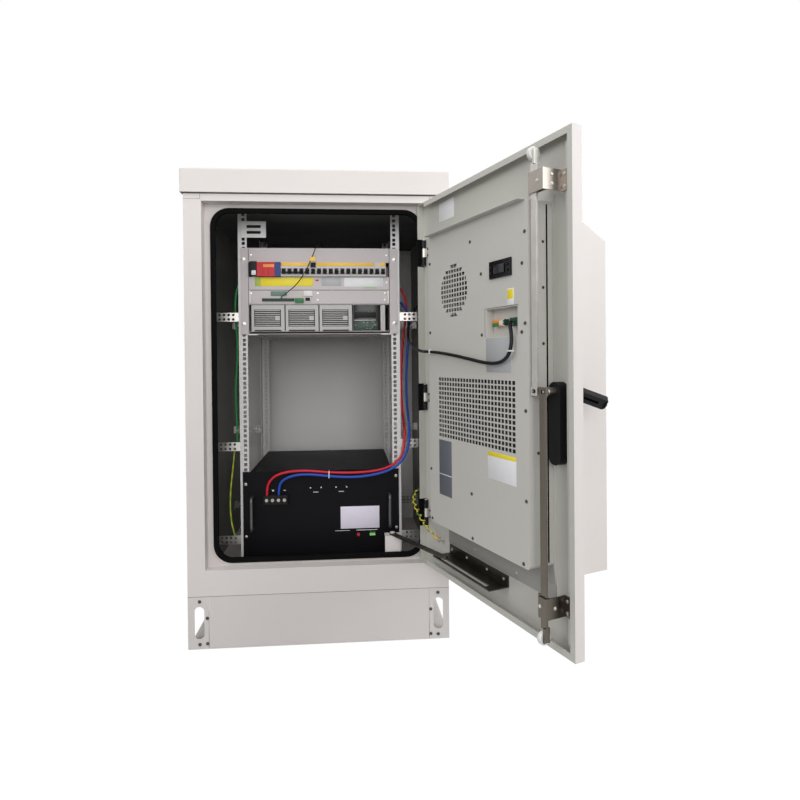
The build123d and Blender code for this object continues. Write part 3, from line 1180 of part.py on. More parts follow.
# Lock
with BuildPart(DOOR) as handle_housing:
    for grow, start, end in ((FLANGE_WIDE, FLANGE_OUT, SKIN_OUT), (0, SKIN_OUT, HOUSING_BACK)):
        with BuildSketch(DOOR.offset(start)):
            with Locations((SPINDLE_U, HOUSING_Z)):
                SlotOverall(HOUSING_LENGTH + 2 * grow, HOUSING_WIDTH + 2 * grow, rotation=90)
        extrude(amount=end - start)
    with BuildSketch(DOOR.offset(FLANGE_OUT)):
        with Locations((SPINDLE_U, HOUSING_Z)):
            SlotOverall(HOUSING_LENGTH - 2 * HOUSING_WALL, HOUSING_WIDTH - 2 * HOUSING_WALL, rotation=90)
    extrude(amount=HOUSING_BACK - HOUSING_WALL - FLANGE_OUT, mode=Mode.SUBTRACT)
    with BuildSketch(DOOR.offset(HOUSING_BACK)):
        with Locations((SPINDLE_U, SPINDLE_Z)):
            Circle(BOSS_RADIUS)
    extrude(amount=-BOSS_LENGTH)
    with BuildSketch(DOOR.offset(HOUSING_BACK)):
        with Locations((SPINDLE_U, SPINDLE_Z)):
            Circle(SPINDLE_RADIUS + SPINDLE_PLAY)
    extrude(amount=-BOSS_LENGTH, mode=Mode.SUBTRACT)
keep(handle_housing, "handle_housing")

turn, lift = radians(LEVER_TURN), radians(LEVER_LIFT)
LEVER_DOWN = DOOR_U * sin(turn) - UP * cos(turn)
LEVER_ALONG = LEVER_DOWN * cos(lift) - DOOR_N * sin(lift)
LEVER_OUTWARD = DOOR_N * -cos(lift) - LEVER_DOWN * sin(lift)
LIFT_POINT = door_point(SPINDLE_U, SPINDLE_Z, LIFT_N)
YOKE = Plane(origin=LIFT_POINT, x_dir=LEVER_DOWN, z_dir=-DOOR_N)
LEVER = Plane(origin=LIFT_POINT, x_dir=LEVER_ALONG, z_dir=LEVER_OUTWARD)
LIFT_SIDE = Plane(origin=LIFT_POINT, x_dir=LEVER_ALONG, z_dir=LEVER.y_dir)

with BuildPart(DOOR) as handle_spindle:
    for radius, start, end in (
        (HEAD_RADIUS, HEAD_OUT, HEAD_OUT + HEAD_THICK),
        (SPINDLE_RADIUS, HEAD_OUT + HEAD_THICK, CAM_LEVEL),
    ):
        with BuildSketch(DOOR.offset(start)):
            with Locations((SPINDLE_U, SPINDLE_Z)):
                Circle(radius)
        extrude(amount=end - start)
    with BuildSketch(DOOR.offset(CAM_LEVEL)):
        with Locations((SPINDLE_U, SPINDLE_Z)):
            SlotOverall(2 * CAM_RADIUS + CAM_WIDTH, CAM_WIDTH)
    extrude(amount=CAM_THICK)
    with BuildSketch(DOOR.offset(CAM_LEVEL + CAM_THICK)):
        with Locations((SPINDLE_U, SPINDLE_Z)):
            with GridLocations(2 * CAM_RADIUS, 0, 2, 1):
                Circle(CAM_PIN)
    extrude(amount=CAM_PIN_LENGTH)
    with BuildSketch(YOKE.offset(-LIFT_RISE)):
        for side in (-1, 1):
            with Locations((0, side * (CHEEK_GAP + CHEEK_THICK / 2))):
                Rectangle(2 * CHEEK_HALF, CHEEK_THICK)
    extrude(amount=CHEEK_RISE)
    with BuildSketch(LIFT_SIDE):
        Circle(LIFT_PIN + LIFT_PLAY)
    extrude(amount=HEAD_RADIUS + CHEEK_THICK, both=True, mode=Mode.SUBTRACT)
keep(handle_spindle, "handle_spindle")

with BuildPart(LEVER) as handle_lever:
    with BuildSketch(LIFT_SIDE):
        Circle(LEVER_ROOT)
    extrude(amount=LEVER_ROOT_WIDTH / 2, both=True)
    with BuildSketch(LEVER.offset(-LEVER_UNDER)):
        with BuildLine():
            Polyline((0, -LEVER_ROOT_WIDTH / 2), (LEVER_NECK, -LEVER_ROOT_WIDTH / 2),
                     (LEVER_NECK + LEVER_CORNER, -LEVER_WIDTH / 2), (LEVER_LENGTH, -LEVER_WIDTH / 2),
                     (LEVER_LENGTH, LEVER_WIDTH / 2), (LEVER_NECK + LEVER_CORNER, LEVER_WIDTH / 2),
                     (LEVER_NECK, LEVER_ROOT_WIDTH / 2), (0, LEVER_ROOT_WIDTH / 2), close=True)
        make_face()
    extrude(amount=LEVER_UNDER + LEVER_OVER)
    fillet(handle_lever.edges().filter_by(Axis(LIFT_POINT, LEVER_OUTWARD)), LEVER_WALL)
    slab(LEVER_RELIEF, LEVER_LENGTH - 2 * LEVER_HOOK, -LEVER_WALL, LEVER_WALL,
         -LEVER_UNDER, LEVER_OVER - LEVER_WALL, mode=Mode.SUBTRACT)
    slab(LEVER_LENGTH - LEVER_WALL, LEVER_LENGTH, -LEVER_CORNER, LEVER_CORNER,
         -LEVER_UNDER - LEVER_HOOK / 2, -LEVER_UNDER)
    with BuildSketch(LIFT_SIDE):
        Circle(LIFT_PIN)
    extrude(amount=CHEEK_GAP + CHEEK_THICK, both=True)
keep(handle_lever, "handle_lever")


def lock_rod(bar_u, pin_side, way, roller_z):
    """A flat lock rod from its cam pin to its roller; way is 1 for the upper rod and -1 for the lower."""
    pin_u = SPINDLE_U + pin_side * CAM_RADIUS
    slot_u = pin_u - pin_side * (PIN_SLOT_LENGTH / 2 - CAM_PIN - PIN_SLOT_PLAY)
    slot_out = pin_u + pin_side * (CAM_PIN + PIN_SLOT_PLAY + ROD_FOOT_EDGE)
    foot_end = SPINDLE_Z - way * ROD_FOOT_HALF
    foot_start = SPINDLE_Z + way * ROD_FOOT_HALF
    bar_end = roller_z - way * (ROLLER_RADIUS + ROD_EAR_LAP)
    ear_u = bar_u + ROD_WIDTH / 2
    roller_face = ear_u - ROD_EAR - ROLLER_SIDE
    with BuildPart(DOOR) as rod:
        slab(bar_u - ROD_WIDTH / 2, bar_u + ROD_WIDTH / 2, foot_end, bar_end, ROD_LEVEL, ROD_TOP)
        slab(slot_out, bar_u, foot_end, foot_start, ROD_LEVEL, ROD_TOP)
        with BuildSketch(DOOR.offset(ROD_LEVEL)):
            with Locations((slot_u, SPINDLE_Z)):
                RectangleRounded(PIN_SLOT_LENGTH, 2 * CAM_PIN + PIN_SLOT_RISE, CAM_PIN)
        extrude(amount=ROD_THICK, mode=Mode.SUBTRACT)
        slab(ear_u - ROD_EAR, ear_u, bar_end - way * ROD_EAR_LAP, roller_z + way * ROD_EAR_HALF,
             ROLLER_CENTRE_N - ROD_EAR_HALF, ROLLER_CENTRE_N + ROD_EAR_HALF)
        axle_plane = Plane(origin=door_point(ear_u, roller_z, ROLLER_CENTRE_N), z_dir=-DOOR_U)
        axle_length = ROD_EAR + ROLLER_WIDTH + 2 * ROLLER_SIDE
        with BuildSketch(axle_plane):
            Circle(ROLLER_BORE)
        extrude(amount=axle_length)
        with BuildSketch(axle_plane.offset(axle_length)):
            Circle(ROLLER_CAP)
        extrude(amount=ROLLER_CAP_THICK)
    with BuildPart() as roller:
        roller_plane = Plane(origin=door_point(roller_face, roller_z, ROLLER_CENTRE_N), z_dir=-DOOR_U)
        with BuildSketch(roller_plane):
            Circle(ROLLER_RADIUS)
            Circle(ROLLER_BORE + ROLLER_PLAY, mode=Mode.SUBTRACT)
        extrude(amount=ROLLER_WIDTH)
        fillet(roller.edges().filter_by(GeomType.CIRCLE).sort_by(SortBy.RADIUS)[-2:], ROLLER_ROUND)
    return rod, roller


for name, bar_u, pin_side, way, roller_z in (
    ("upper", ROD_U[0], -1, 1, ROLLER_Z[0]),
    ("lower", ROD_U[1], 1, -1, ROLLER_Z[1]),
):
    rod, roller = lock_rod(bar_u, pin_side, way, roller_z)
    keep(rod, f"{name}_rod")
    keep(roller, f"{name}_roller")

with BuildPart(DOOR) as rod_guides:
    for bar_u, start in zip(ROD_U, GUIDE_START):
        end = start + GUIDE_HEIGHT
        bar_left = bar_u - ROD_WIDTH / 2 - ROD_GAP
        bar_right = bar_u + ROD_WIDTH / 2 + ROD_GAP
        leg_end = GUIDE_LEG_U + GUIDE_PLATE
        front = ROD_TOP + ROD_GAP
        back = ROD_LEVEL - ROD_GAP
        slab(bar_left - GUIDE_LAP, leg_end, start, end, back - GUIDE_PLATE, back)
        slab(bar_left - GUIDE_PLATE, leg_end, start, end, front, front + GUIDE_PLATE)
        slab(bar_left - GUIDE_PLATE, bar_left, start, end, ROD_LEVEL - ROD_GAP, front)
        if bar_right + GUIDE_PLATE < GUIDE_LEG_U:
            slab(bar_right, bar_right + GUIDE_PLATE, start, end, ROD_LEVEL - ROD_GAP, front)
        slab(GUIDE_LEG_U, leg_end, start, end, STIFFENER_TOP, front)
        slab(GUIDE_LEG_U, GUIDE_FOOT_END, start, end, STIFFENER_TOP, STIFFENER_TOP + GUIDE_PLATE)
keep(rod_guides, "rod_guides")

# Door stay
PIN_POINT = door_point(STAY_PIN_U, 0, STAY_PIN_N)
arm_x, arm_y = PIN_POINT.X - STAY_X, PIN_POINT.Y - STAY_Y
ARM_LENGTH = sqrt(arm_x ** 2 + arm_y ** 2)
ARM = Plane(origin=(STAY_X, STAY_Y, STAY_Z), x_dir=(arm_x, arm_y, 0), z_dir=(0, 0, 1))

with BuildPart() as stay_bracket:
    shelf_top = STAY_Z - STAY_GAP
    x0, x1 = STAY_X - BRACKET_WIDTH / 2, STAY_X + BRACKET_WIDTH / 2
    slab(x0, x1, LIP_BACK + SEAL_BACK + FIT, LIP_BACK + SEAL_BACK + FIT + BRACKET_SHEET,
         RECESS_BOTTOM, shelf_top)
    slab(x0, x1, LIP_BACK, LIP_BACK + SEAL_BACK + FIT + BRACKET_SHEET, RECESS_BOTTOM,
         OPENING_BOTTOM - SEAL_OUT - FIT)
    slab(x0, x1, LIP_BACK + SEAL_BACK + FIT, LIP_BACK + SEAL_BACK + FIT + BRACKET_REACH,
         shelf_top - BRACKET_SHEET, shelf_top)
    with BuildSketch(Plane.XY.offset(shelf_top)):
        with Locations((STAY_X, STAY_Y)):
            Circle(STAY_PIN)
    extrude(amount=STAY_THICK + 2 * STAY_GAP)
    with BuildSketch(Plane.XY.offset(shelf_top + STAY_THICK + 2 * STAY_GAP)):
        with Locations((STAY_X, STAY_Y)):
            Circle(STAY_HEAD)
    extrude(amount=STAY_HEAD_THICK)
keep(stay_bracket, "stay_bracket")

with BuildPart(ARM) as stay_arm:
    with BuildSketch(ARM):
        with Locations((ARM_LENGTH / 2, 0)):
            SlotCenterToCenter(ARM_LENGTH, STAY_WIDTH)
        Circle(STAY_PIN + STAY_PIN_PLAY, mode=Mode.SUBTRACT)
    extrude(amount=STAY_THICK)
    with BuildSketch(ARM.offset(-STAY_RIVET_DROP)):
        with Locations((ARM_LENGTH, 0)):
            Circle(STAY_PIN)
    extrude(amount=STAY_RIVET_DROP)
    with BuildSketch(ARM.offset(STAY_THICK)):
        with Locations((ARM_LENGTH, 0)):
            Circle(STAY_HEAD)
    extrude(amount=STAY_HEAD_THICK)
keep(stay_arm, "stay_arm")

with BuildPart(DOOR) as stay_track:
    track_end = TRACK_START + TRACK_LENGTH
    track_back = SKIN_IN + TRACK_SHEET
    slab(TRACK_START, track_end, TRACK_TOP - TRACK_SHEET, TRACK_TOP + TRACK_LEG, SKIN_IN, track_back)
    slab(TRACK_START, track_end, TRACK_TOP - TRACK_SHEET, TRACK_TOP, SKIN_IN, SKIN_IN + TRACK_REACH)
    slab(TRACK_START + TRACK_SLOT_INSET, track_end - TRACK_SLOT_INSET, TRACK_TOP - TRACK_SHEET, TRACK_TOP,
         STAY_PIN_N - TRACK_SLOT / 2, STAY_PIN_N + TRACK_SLOT / 2, mode=Mode.SUBTRACT)
keep(stay_track, "stay_track")


# Cables
def cable(route, diameter, name):
    """A cable along its route: straight runs joined by arcs as large as the runs allow."""
    points = [Vector(*point) for point in route]
    radii = []
    for before, here, after in zip(points, points[1:], points[2:]):
        run = min((here - before).length, (after - here).length)
        turning = radians((here - before).get_angle(after - here))
        radii.append(ARC_SHARE * run / tan(turning / 2))
    with BuildPart() as tube:
        with BuildLine() as line:
            FilletPolyline(*points, radius=radii)
        with BuildSketch(Plane(origin=points[0], z_dir=points[1] - points[0])):
            Circle(diameter / 2)
        sweep()
    length = sum(edge.length for edge in line.edges())
    ideal = pi * diameter ** 2 / 4 * length
    ratio = tube.part.volume / ideal
    print(f"{name}: length {length:.0f}, smallest radius {min(radii):.1f}, volume ratio {ratio:.4f}")
    keep(tube, name)


for route, diameter, name in (
    (GREEN_ROUTE, GREEN_DIAMETER, "green_earth_wire"),
    (YELLOW_ROUTE, YELLOW_DIAMETER, "yellow_earth_wire"),
    (RED_ROUTE, POWER_CABLE_DIAMETER, "red_cable"),
    (BLUE_ROUTE, POWER_CABLE_DIAMETER, "blue_cable"),
    (SENSOR_ROUTE, SENSOR_DIAMETER, "sensor_wire"),
    (AC_CABLE_ROUTE, AC_CABLE_DIAMETER, "ac_cable"),
    (CURLY_ROUTE, CURLY_DIAMETER, "door_earth_lead"),
):
    cable(route, diameter, name)
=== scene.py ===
import json
import logging
import math
from dataclasses import dataclass
from enum import Enum
from functools import cache, cached_property
from typing import Callable, ClassVar, Iterable, NamedTuple, Sequence, Union

import bmesh
import bpy
from mathutils import Matrix, Vector


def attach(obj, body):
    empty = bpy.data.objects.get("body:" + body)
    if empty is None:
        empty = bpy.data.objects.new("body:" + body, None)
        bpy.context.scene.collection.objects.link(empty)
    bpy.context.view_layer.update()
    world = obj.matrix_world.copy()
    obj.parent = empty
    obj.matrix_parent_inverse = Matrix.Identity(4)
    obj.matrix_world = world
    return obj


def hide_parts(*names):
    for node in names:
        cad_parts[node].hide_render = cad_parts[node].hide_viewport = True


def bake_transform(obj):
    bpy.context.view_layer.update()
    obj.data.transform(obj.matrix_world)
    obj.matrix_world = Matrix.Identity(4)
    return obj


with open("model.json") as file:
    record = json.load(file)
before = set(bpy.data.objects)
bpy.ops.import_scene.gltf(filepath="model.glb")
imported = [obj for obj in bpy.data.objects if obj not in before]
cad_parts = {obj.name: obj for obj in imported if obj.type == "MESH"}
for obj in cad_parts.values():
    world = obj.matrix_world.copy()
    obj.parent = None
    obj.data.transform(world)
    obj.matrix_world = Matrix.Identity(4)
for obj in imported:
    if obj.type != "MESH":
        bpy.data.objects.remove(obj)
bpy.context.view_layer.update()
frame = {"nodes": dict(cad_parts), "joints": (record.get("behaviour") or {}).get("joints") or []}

LOG = logging.getLogger("cabinet")

Colour = tuple[float, float, float]
Point = tuple[float, float, float]
Spot = tuple[float, float]
Box = tuple[float, float, float, float]

SCREEN_FULL = 255
TOE_END = 0.04045
TOE_SLOPE = 12.92
CURVE_OFFSET = 0.055
CURVE_POWER = 2.4
WHITE: Colour = (1.0, 1.0, 1.0)
HALF = 0.5
TURN = 2 * math.pi
HALF_TURN = TURN / 2
QUARTER_TURN = TURN / 4


class Body(str, Enum):
    """The bodies that the dressing rides on."""

    CABINET = "cabinet"
    DOOR = "door"


def tint(red: int, green: int, blue: int) -> Colour:
    """Turns a colour as seen on a screen, from 0 to 255, into the linear light that shaders use."""
    levels = (value / SCREEN_FULL for value in (red, green, blue))
    return tuple(v / TOE_SLOPE if v <= TOE_END else ((v + CURVE_OFFSET) / (1 + CURVE_OFFSET)) ** CURVE_POWER
                 for v in levels)


class Shade:
    """A shader socket that takes part in Python arithmetic on values."""

    MIX_FACTOR = 0
    MIX_LOW = 6
    MIX_HIGH = 7
    MIX_COLOUR = 2

    def __init__(self, graph: "Graph", socket: bpy.types.NodeSocket) -> None:
        """Keeps the graph and the socket that this value comes from."""
        self.graph = graph
        self.socket = socket

    def _math(self, operation: str, other: "Term") -> "Shade":
        """Gives the result of one Math node on this value and another."""
        node = self.graph.node("ShaderNodeMath", {"operation": operation}, {0: self, 1: other})
        return Shade(self.graph, node.outputs[0])

    def __add__(self, other: "Term") -> "Shade":
        """Adds a value."""
        return self._math("ADD", other)

    def __mul__(self, other: "Term") -> "Shade":
        """Multiplies by a value."""
        return self._math("MULTIPLY", other)

    def above(self, level: float) -> "Shade":
        """Gives one where the value is above a level, and nothing elsewhere."""
        return self._math("GREATER_THAN", level)

    def blend(self, low: Union[Colour, "Shade"], high: Union[Colour, "Shade"]) -> "Shade":
        """Mixes two colours by this value.

        Args:
            low: The colour where the value is nothing.
            high: The colour where the value is one.

        Returns:
            The mixed colour.
        """
        inputs = {self.MIX_FACTOR: self, self.MIX_LOW: low, self.MIX_HIGH: high}
        node = self.graph.node("ShaderNodeMix", {"data_type": "RGBA"}, inputs)
        return Shade(self.graph, node.outputs[self.MIX_COLOUR])


Term = Union[float, Shade]


class Graph:
    """The node tree of one material or of the world."""

    def __init__(self, owner: Union[bpy.types.Material, bpy.types.World]) -> None:
        """Turns the owner's nodes on and keeps its first shader."""
        owner.use_nodes = True
        self.owner = owner
        self.tree = owner.node_tree
        self.shader = self.tree.nodes.get("Principled BSDF") or self.tree.nodes["Background"]

    @cached_property
    def place(self) -> bpy.types.NodeSocket:
        """Gives the place on the object, from one texture coordinate node."""
        return self.node("ShaderNodeTexCoord", {}, {}).outputs["Object"]

    def seen_rays(self) -> Shade:
        """Picks the rays that show the background: from the camera, mirrored, or through glass.

        Returns:
            One for those rays and nothing for the rest.
        """
        path = self.node("ShaderNodeLightPath", {}, {})
        camera, glossy, through = (Shade(self, path.outputs[f"Is {kind} Ray"])
                                   for kind in ("Camera", "Glossy", "Transmission"))
        return camera + glossy + through

    def node(self, kind: str, settings: dict, inputs: dict) -> bpy.types.Node:
        """Adds any node.

        Args:
            kind: The node's type.
            settings: Properties that are set first, by name; a ramp's stops go under "stops".
            inputs: Values or links of its sockets, by name or number.

        Returns:
            The new node.
        """
        made = self.tree.nodes.new(kind)
        for key, value in settings.items():
            if key == "stops":
                ramp = made.color_ramp
                while len(ramp.elements) < len(value):
                    ramp.elements.new(1.0)
                for element, (place, level) in zip(ramp.elements, value):
                    element.position = place
                    element.color = (level, level, level, 1.0)
            else:
                setattr(made, key, value)
        for key, value in inputs.items():
            self.feed(made.inputs[key], value)
        return made

    def feed(self, socket: bpy.types.NodeSocket, value: object) -> None:
        """Sets a socket to a value or links it.

        Args:
            socket: The socket to set.
            value: A number, a colour, a socket or an expression.
        """
        if isinstance(value, Shade):
            value = value.socket
        if isinstance(value, bpy.types.NodeSocket):
            self.tree.links.new(value, socket)
        elif isinstance(value, tuple) and len(value) == 3 and socket.type == "RGBA":
            socket.default_value = (*value, 1.0)
        else:
            socket.default_value = value

    def stretched(self, scale: Point) -> bpy.types.NodeSocket:
        """Gives the place on the object, stretched along each axis."""
        return self.node("ShaderNodeMapping", {}, {"Vector": self.place, "Scale": scale}).outputs[0]

    def noise(self, scale: float, detail: float, where: Union[bpy.types.NodeSocket, None] = None) -> Shade:
        """Gives noise about one half, on the object's place unless other coordinates are given."""
        inputs = {"Vector": where or self.place, "Scale": scale, "Detail": detail}
        return Shade(self, self.node("ShaderNodeTexNoise", {}, inputs).outputs[0])

    def ramp(self, value: Shade, *stops: tuple[float, float]) -> Shade:
        """Maps a value through stops of place and level."""
        return Shade(self, self.node("ShaderNodeValToRGB", {"stops": stops}, {0: value}).outputs[0])

    def surface(self, **sockets: object) -> None:
        """Sets the shader's sockets; underscores stand for blanks in their names."""
        for name, value in sockets.items():
            self.feed(self.shader.inputs[name.replace("_", " ")], value)

    def bump(self, height: Shade, strength: float, distance: float) -> None:
        """Feeds the shader's normal from a height, where one stands out by a distance in metres."""
        inputs = {"Strength": strength, "Distance": distance, "Height": height}
        self.feed(self.shader.inputs["Normal"], self.node("ShaderNodeBump", {}, inputs).outputs[0])


class Grain(NamedTuple):
    """Noise: how many blotches there are in a metre, and how many finer layers it has."""

    scale: float
    detail: float


class Relief(NamedTuple):
    """A bump: how strong it is, and how far it stands out, in metres."""

    strength: float
    distance: float


@dataclass(frozen=True)
class Finish:
    """A surface finish, as it is for moulded plastic; its kinds differ in their nodes.

    Attributes:
        name: The material's name.
        slot: The record's material slot that it belongs to; not used.
        colour: Its main colour, in linear light.
        roughness: Its mean roughness.
        gloss: How much it mirrors, where one half is usual for paint and plastic.
        CLOUD: The noise that clouds its colour and roughness.
        SHADES: The shares of its main colour at the darkest and the brightest.
        SPREAD: How far its roughness varies.
        METAL: How much of a metal it is.
        GRAIN: The noise of its relief.
        RELIEF: How its relief stands out.
    """

    name: str
    slot: str
    colour: Colour
    roughness: float = 0.5
    gloss: float = 0.5
    CLOUD: ClassVar[Grain] = Grain(14.0, 4.0)
    SHADES: ClassVar[Spot] = (0.9, 1.06)
    SPREAD: ClassVar[float] = 0.12
    METAL: ClassVar[float] = 0.0
    GRAIN: ClassVar[Grain] = Grain(1800.0, 2.0)
    RELIEF: ClassVar[Relief] = Relief(0.15, 0.0002)

    def darker(self, share: float) -> Colour:
        """Gives the main colour at a share of its brightness."""
        return tuple(channel * share for channel in self.colour)

    def shaded(self, value: Shade) -> Shade:
        """Gives the main colour between its darkest and its brightest, by a value."""
        return value.blend(*(self.darker(share) for share in self.SHADES))

    def tone(self, graph: Graph, cloud: Shade) -> Shade:
        """Gives the surface's colour."""
        return self.shaded(cloud)

    def height(self, graph: Graph) -> Shade:
        """Gives the surface's relief."""
        return graph.noise(*self.GRAIN)

    def draw(self, graph: Graph) -> None:
        """Draws the finish's nodes.

        Args:
            graph: The material's node tree.
        """
        cloud = graph.noise(*self.CLOUD)
        graph.surface(
            Base_Color=self.tone(graph, cloud),
            Metallic=self.METAL,
            Roughness=cloud * self.SPREAD + (self.roughness - self.SPREAD / 2),
            Specular_IOR_Level=self.gloss,
        )
        graph.bump(self.height(graph), *self.RELIEF)

    @cache
    def material(self) -> bpy.types.Material:
        """Gives the finish's material, drawn the first time it is asked for.

        Returns:
            The material.
        """
        graph = Graph(bpy.data.materials.new(f"{self.name}_finish"))
        self.draw(graph)
        return graph.owner


@dataclass(frozen=True)
class PowderCoat(Finish):
    """Sprayed and baked paint: a fine orange peel, faint clouding and scuffs in the roughness."""

    peel: float = 900.0
    CLOUD = Grain(5.0, 5.0)
    SHADES = (0.955, 1.02)
    SPREAD = 0.10
    DROP: ClassVar[float] = 0.07
    SCUFFS: ClassVar[Grain] = Grain(60.0, 6.0)
    SCUFF_STOPS: ClassVar[tuple[Spot, Spot]] = ((0.60, 0.0), (0.78, 1.0))
    SCUFF_SHARE: ClassVar[float] = 0.10
    SCUFF_SHADE: ClassVar[float] = 0.82
    PEEL_DETAIL: ClassVar[float] = 2.0
    RELIEF = Relief(0.22, 0.00012)

    def draw(self, graph: Graph) -> None:
        """Draws the paint's nodes.

        Args:
            graph: The material's node tree.
        """
        cloud = graph.noise(*self.CLOUD)
        scuff = graph.ramp(graph.noise(*self.SCUFFS), *self.SCUFF_STOPS) * self.SCUFF_SHARE
        graph.surface(
            Base_Color=scuff.blend(self.shaded(cloud), self.darker(self.SCUFF_SHADE)),
            Roughness=scuff + cloud * self.SPREAD + (self.roughness - self.DROP),
            Specular_IOR_Level=self.gloss,
        )
        graph.bump(graph.noise(self.peel, self.PEEL_DETAIL), *self.RELIEF)


@dataclass(frozen=True)
class ZincPlate(Finish):
    """Bright zinc plating: a metal with drawn lines and cloudy brightness."""

    lines: Point = (40.0, 40.0, 2.0)
    CLOUD = Grain(38.0, 5.0)
    SHADES = (0.74, 1.06)
    SPREAD = 0.22
    METAL = 1.0
    DRAWN: ClassVar[Grain] = Grain(26.0, 4.0)
    DRAWN_SHARE: ClassVar[float] = 0.10
    DROP: ClassVar[float] = 0.14
    RELIEF = Relief(0.10, 0.0001)

    def draw(self, graph: Graph) -> None:
        """Draws the plating's nodes.

        Args:
            graph: The material's node tree.
        """
        drawn = graph.noise(*self.DRAWN, graph.stretched(self.lines))
        cloud = graph.noise(*self.CLOUD)
        graph.surface(
            Base_Color=self.shaded(cloud),
            Metallic=self.METAL,
            Roughness=cloud * self.SPREAD + drawn * self.DRAWN_SHARE + (self.roughness - self.DROP),
        )
        graph.bump(drawn, *self.RELIEF)


@dataclass(frozen=True)
class Foam(Finish):
    """Closed-cell insulation foam with a matt, pitted skin."""

    CLOUD = Grain(7.0, 5.0)
    SHADES = (0.75, 1.3)
    SPREAD = 0.10
    CELLS: ClassVar[float] = 420.0
    RELIEF = Relief(0.35, 0.0006)

    def height(self, graph: Graph) -> Shade:
        """Gives the pits between the foam's cells."""
        cells = graph.node("ShaderNodeTexVoronoi", {}, {"Vector": graph.place, "Scale": self.CELLS})
        return Shade(graph, cells.outputs["Distance"])


@dataclass(frozen=True)
class Sheath(Finish):
    """A cable's plastic sheath, plain or with a second colour in stripes."""

    stripe: Union[Colour, None] = None
    turns: float = 70.0
    CLOUD = Grain(30.0, 4.0)
    SHADES = (0.85, 1.1)
    SPREAD = 0.14
    GRAIN = Grain(700.0, 2.0)
    RELIEF = Relief(0.08, 0.0002)

    def tone(self, graph: Graph, cloud: Shade) -> Shade:
        """Gives the sheath's colour, with its stripes where it has them.

        Args:
            graph: The material's node tree.
            cloud: The noise that clouds the main colour.

        Returns:
            The colour.
        """
        plain = self.shaded(cloud)
        if not self.stripe:
            return plain
        inputs = {"Vector": graph.place, "Scale": self.turns}
        wave = graph.node("ShaderNodeTexWave", {"bands_direction": "DIAGONAL"}, inputs)
        return Shade(graph, wave.outputs["Fac"]).above(HALF).blend(plain, self.stripe)


@dataclass(frozen=True)
class PrintedField(Finish):
    """A bare coloured label: a smooth film with a faint paper grain."""

    CLOUD = Grain(40.0, 3.0)
    SHADES = (0.86, 1.08)
    GRAIN = Grain(600.0, 4.0)
    RELIEF = Relief(0.06, 0.0001)

    def tone(self, graph: Graph, cloud: Shade) -> Shade:
        """Gives the label's colour, clouded by its fibres too."""
        return self.shaded(self.height(graph) * HALF + cloud * HALF)


@dataclass(frozen=True)
class FinStack(Finish):
    """Thin metal fins side by side, as on a heat exchanger."""

    CLOUD = Grain(25.0, 4.0)
    # The gaps between the fins are painted at about a third of the colour, as shade.
    SHADES = (0.35, 1.0)
    SPREAD = 0.2
    METAL = 0.6
    FINS: ClassVar[float] = 360.0
    RELIEF = Relief(0.4, 0.0008)

    def height(self, graph: Graph) -> Shade:
        """Gives the fins and the gaps between them.

        Args:
            graph: The material's node tree.

        Returns:
            One on a fin and nothing in a gap.
        """
        inputs = {"Vector": graph.place, "Scale": self.FINS}
        wave = graph.node("ShaderNodeTexWave", {"bands_direction": "X"}, inputs)
        return Shade(graph, wave.outputs["Fac"])

    def tone(self, graph: Graph, cloud: Shade) -> Shade:
        """Gives the fins' colour, with painted shade in the gaps between them."""
        return self.shaded(self.height(graph))


@dataclass(frozen=True)
class BoardFinish(Finish):
    """A circuit board: solder resist with scattered pale and dark components."""

    CLOUD = Grain(260.0, 5.0)
    SHADES = (0.6, 1.3)
    SPREAD = 0.3
    PARTS: ClassVar[float] = 190.0
    CHIPS_ABOVE: ClassVar[float] = 0.66
    CHIP: ClassVar[Colour] = (0.012, 0.012, 0.013)
    PALE_ABOVE: ClassVar[float] = 0.92
    PALE: ClassVar[Colour] = (0.17, 0.18, 0.15)
    RELIEF = Relief(0.5, 0.0012)

    def height(self, graph: Graph) -> Shade:
        """Gives each component's own value, which is its height too.

        Args:
            graph: The material's node tree.

        Returns:
            The value, even over each component.
        """
        inputs = {"Vector": graph.place, "Scale": self.PARTS}
        cells = graph.node("ShaderNodeTexVoronoi", {"distance": "CHEBYCHEV"}, inputs)
        lot = graph.node("ShaderNodeSeparateColor", {}, {0: cells.outputs["Color"]})
        return Shade(graph, lot.outputs[0])

    def tone(self, graph: Graph, cloud: Shade) -> Shade:
        """Gives the board's colour with dark and pale components.

        Args:
            graph: The material's node tree.
            cloud: The noise that clouds the solder resist.

        Returns:
            The colour.
        """
        pick = self.height(graph)
        chips = pick.above(self.CHIPS_ABOVE).blend(self.shaded(cloud), self.CHIP)
        return pick.above(self.PALE_ABOVE).blend(chips, self.PALE)


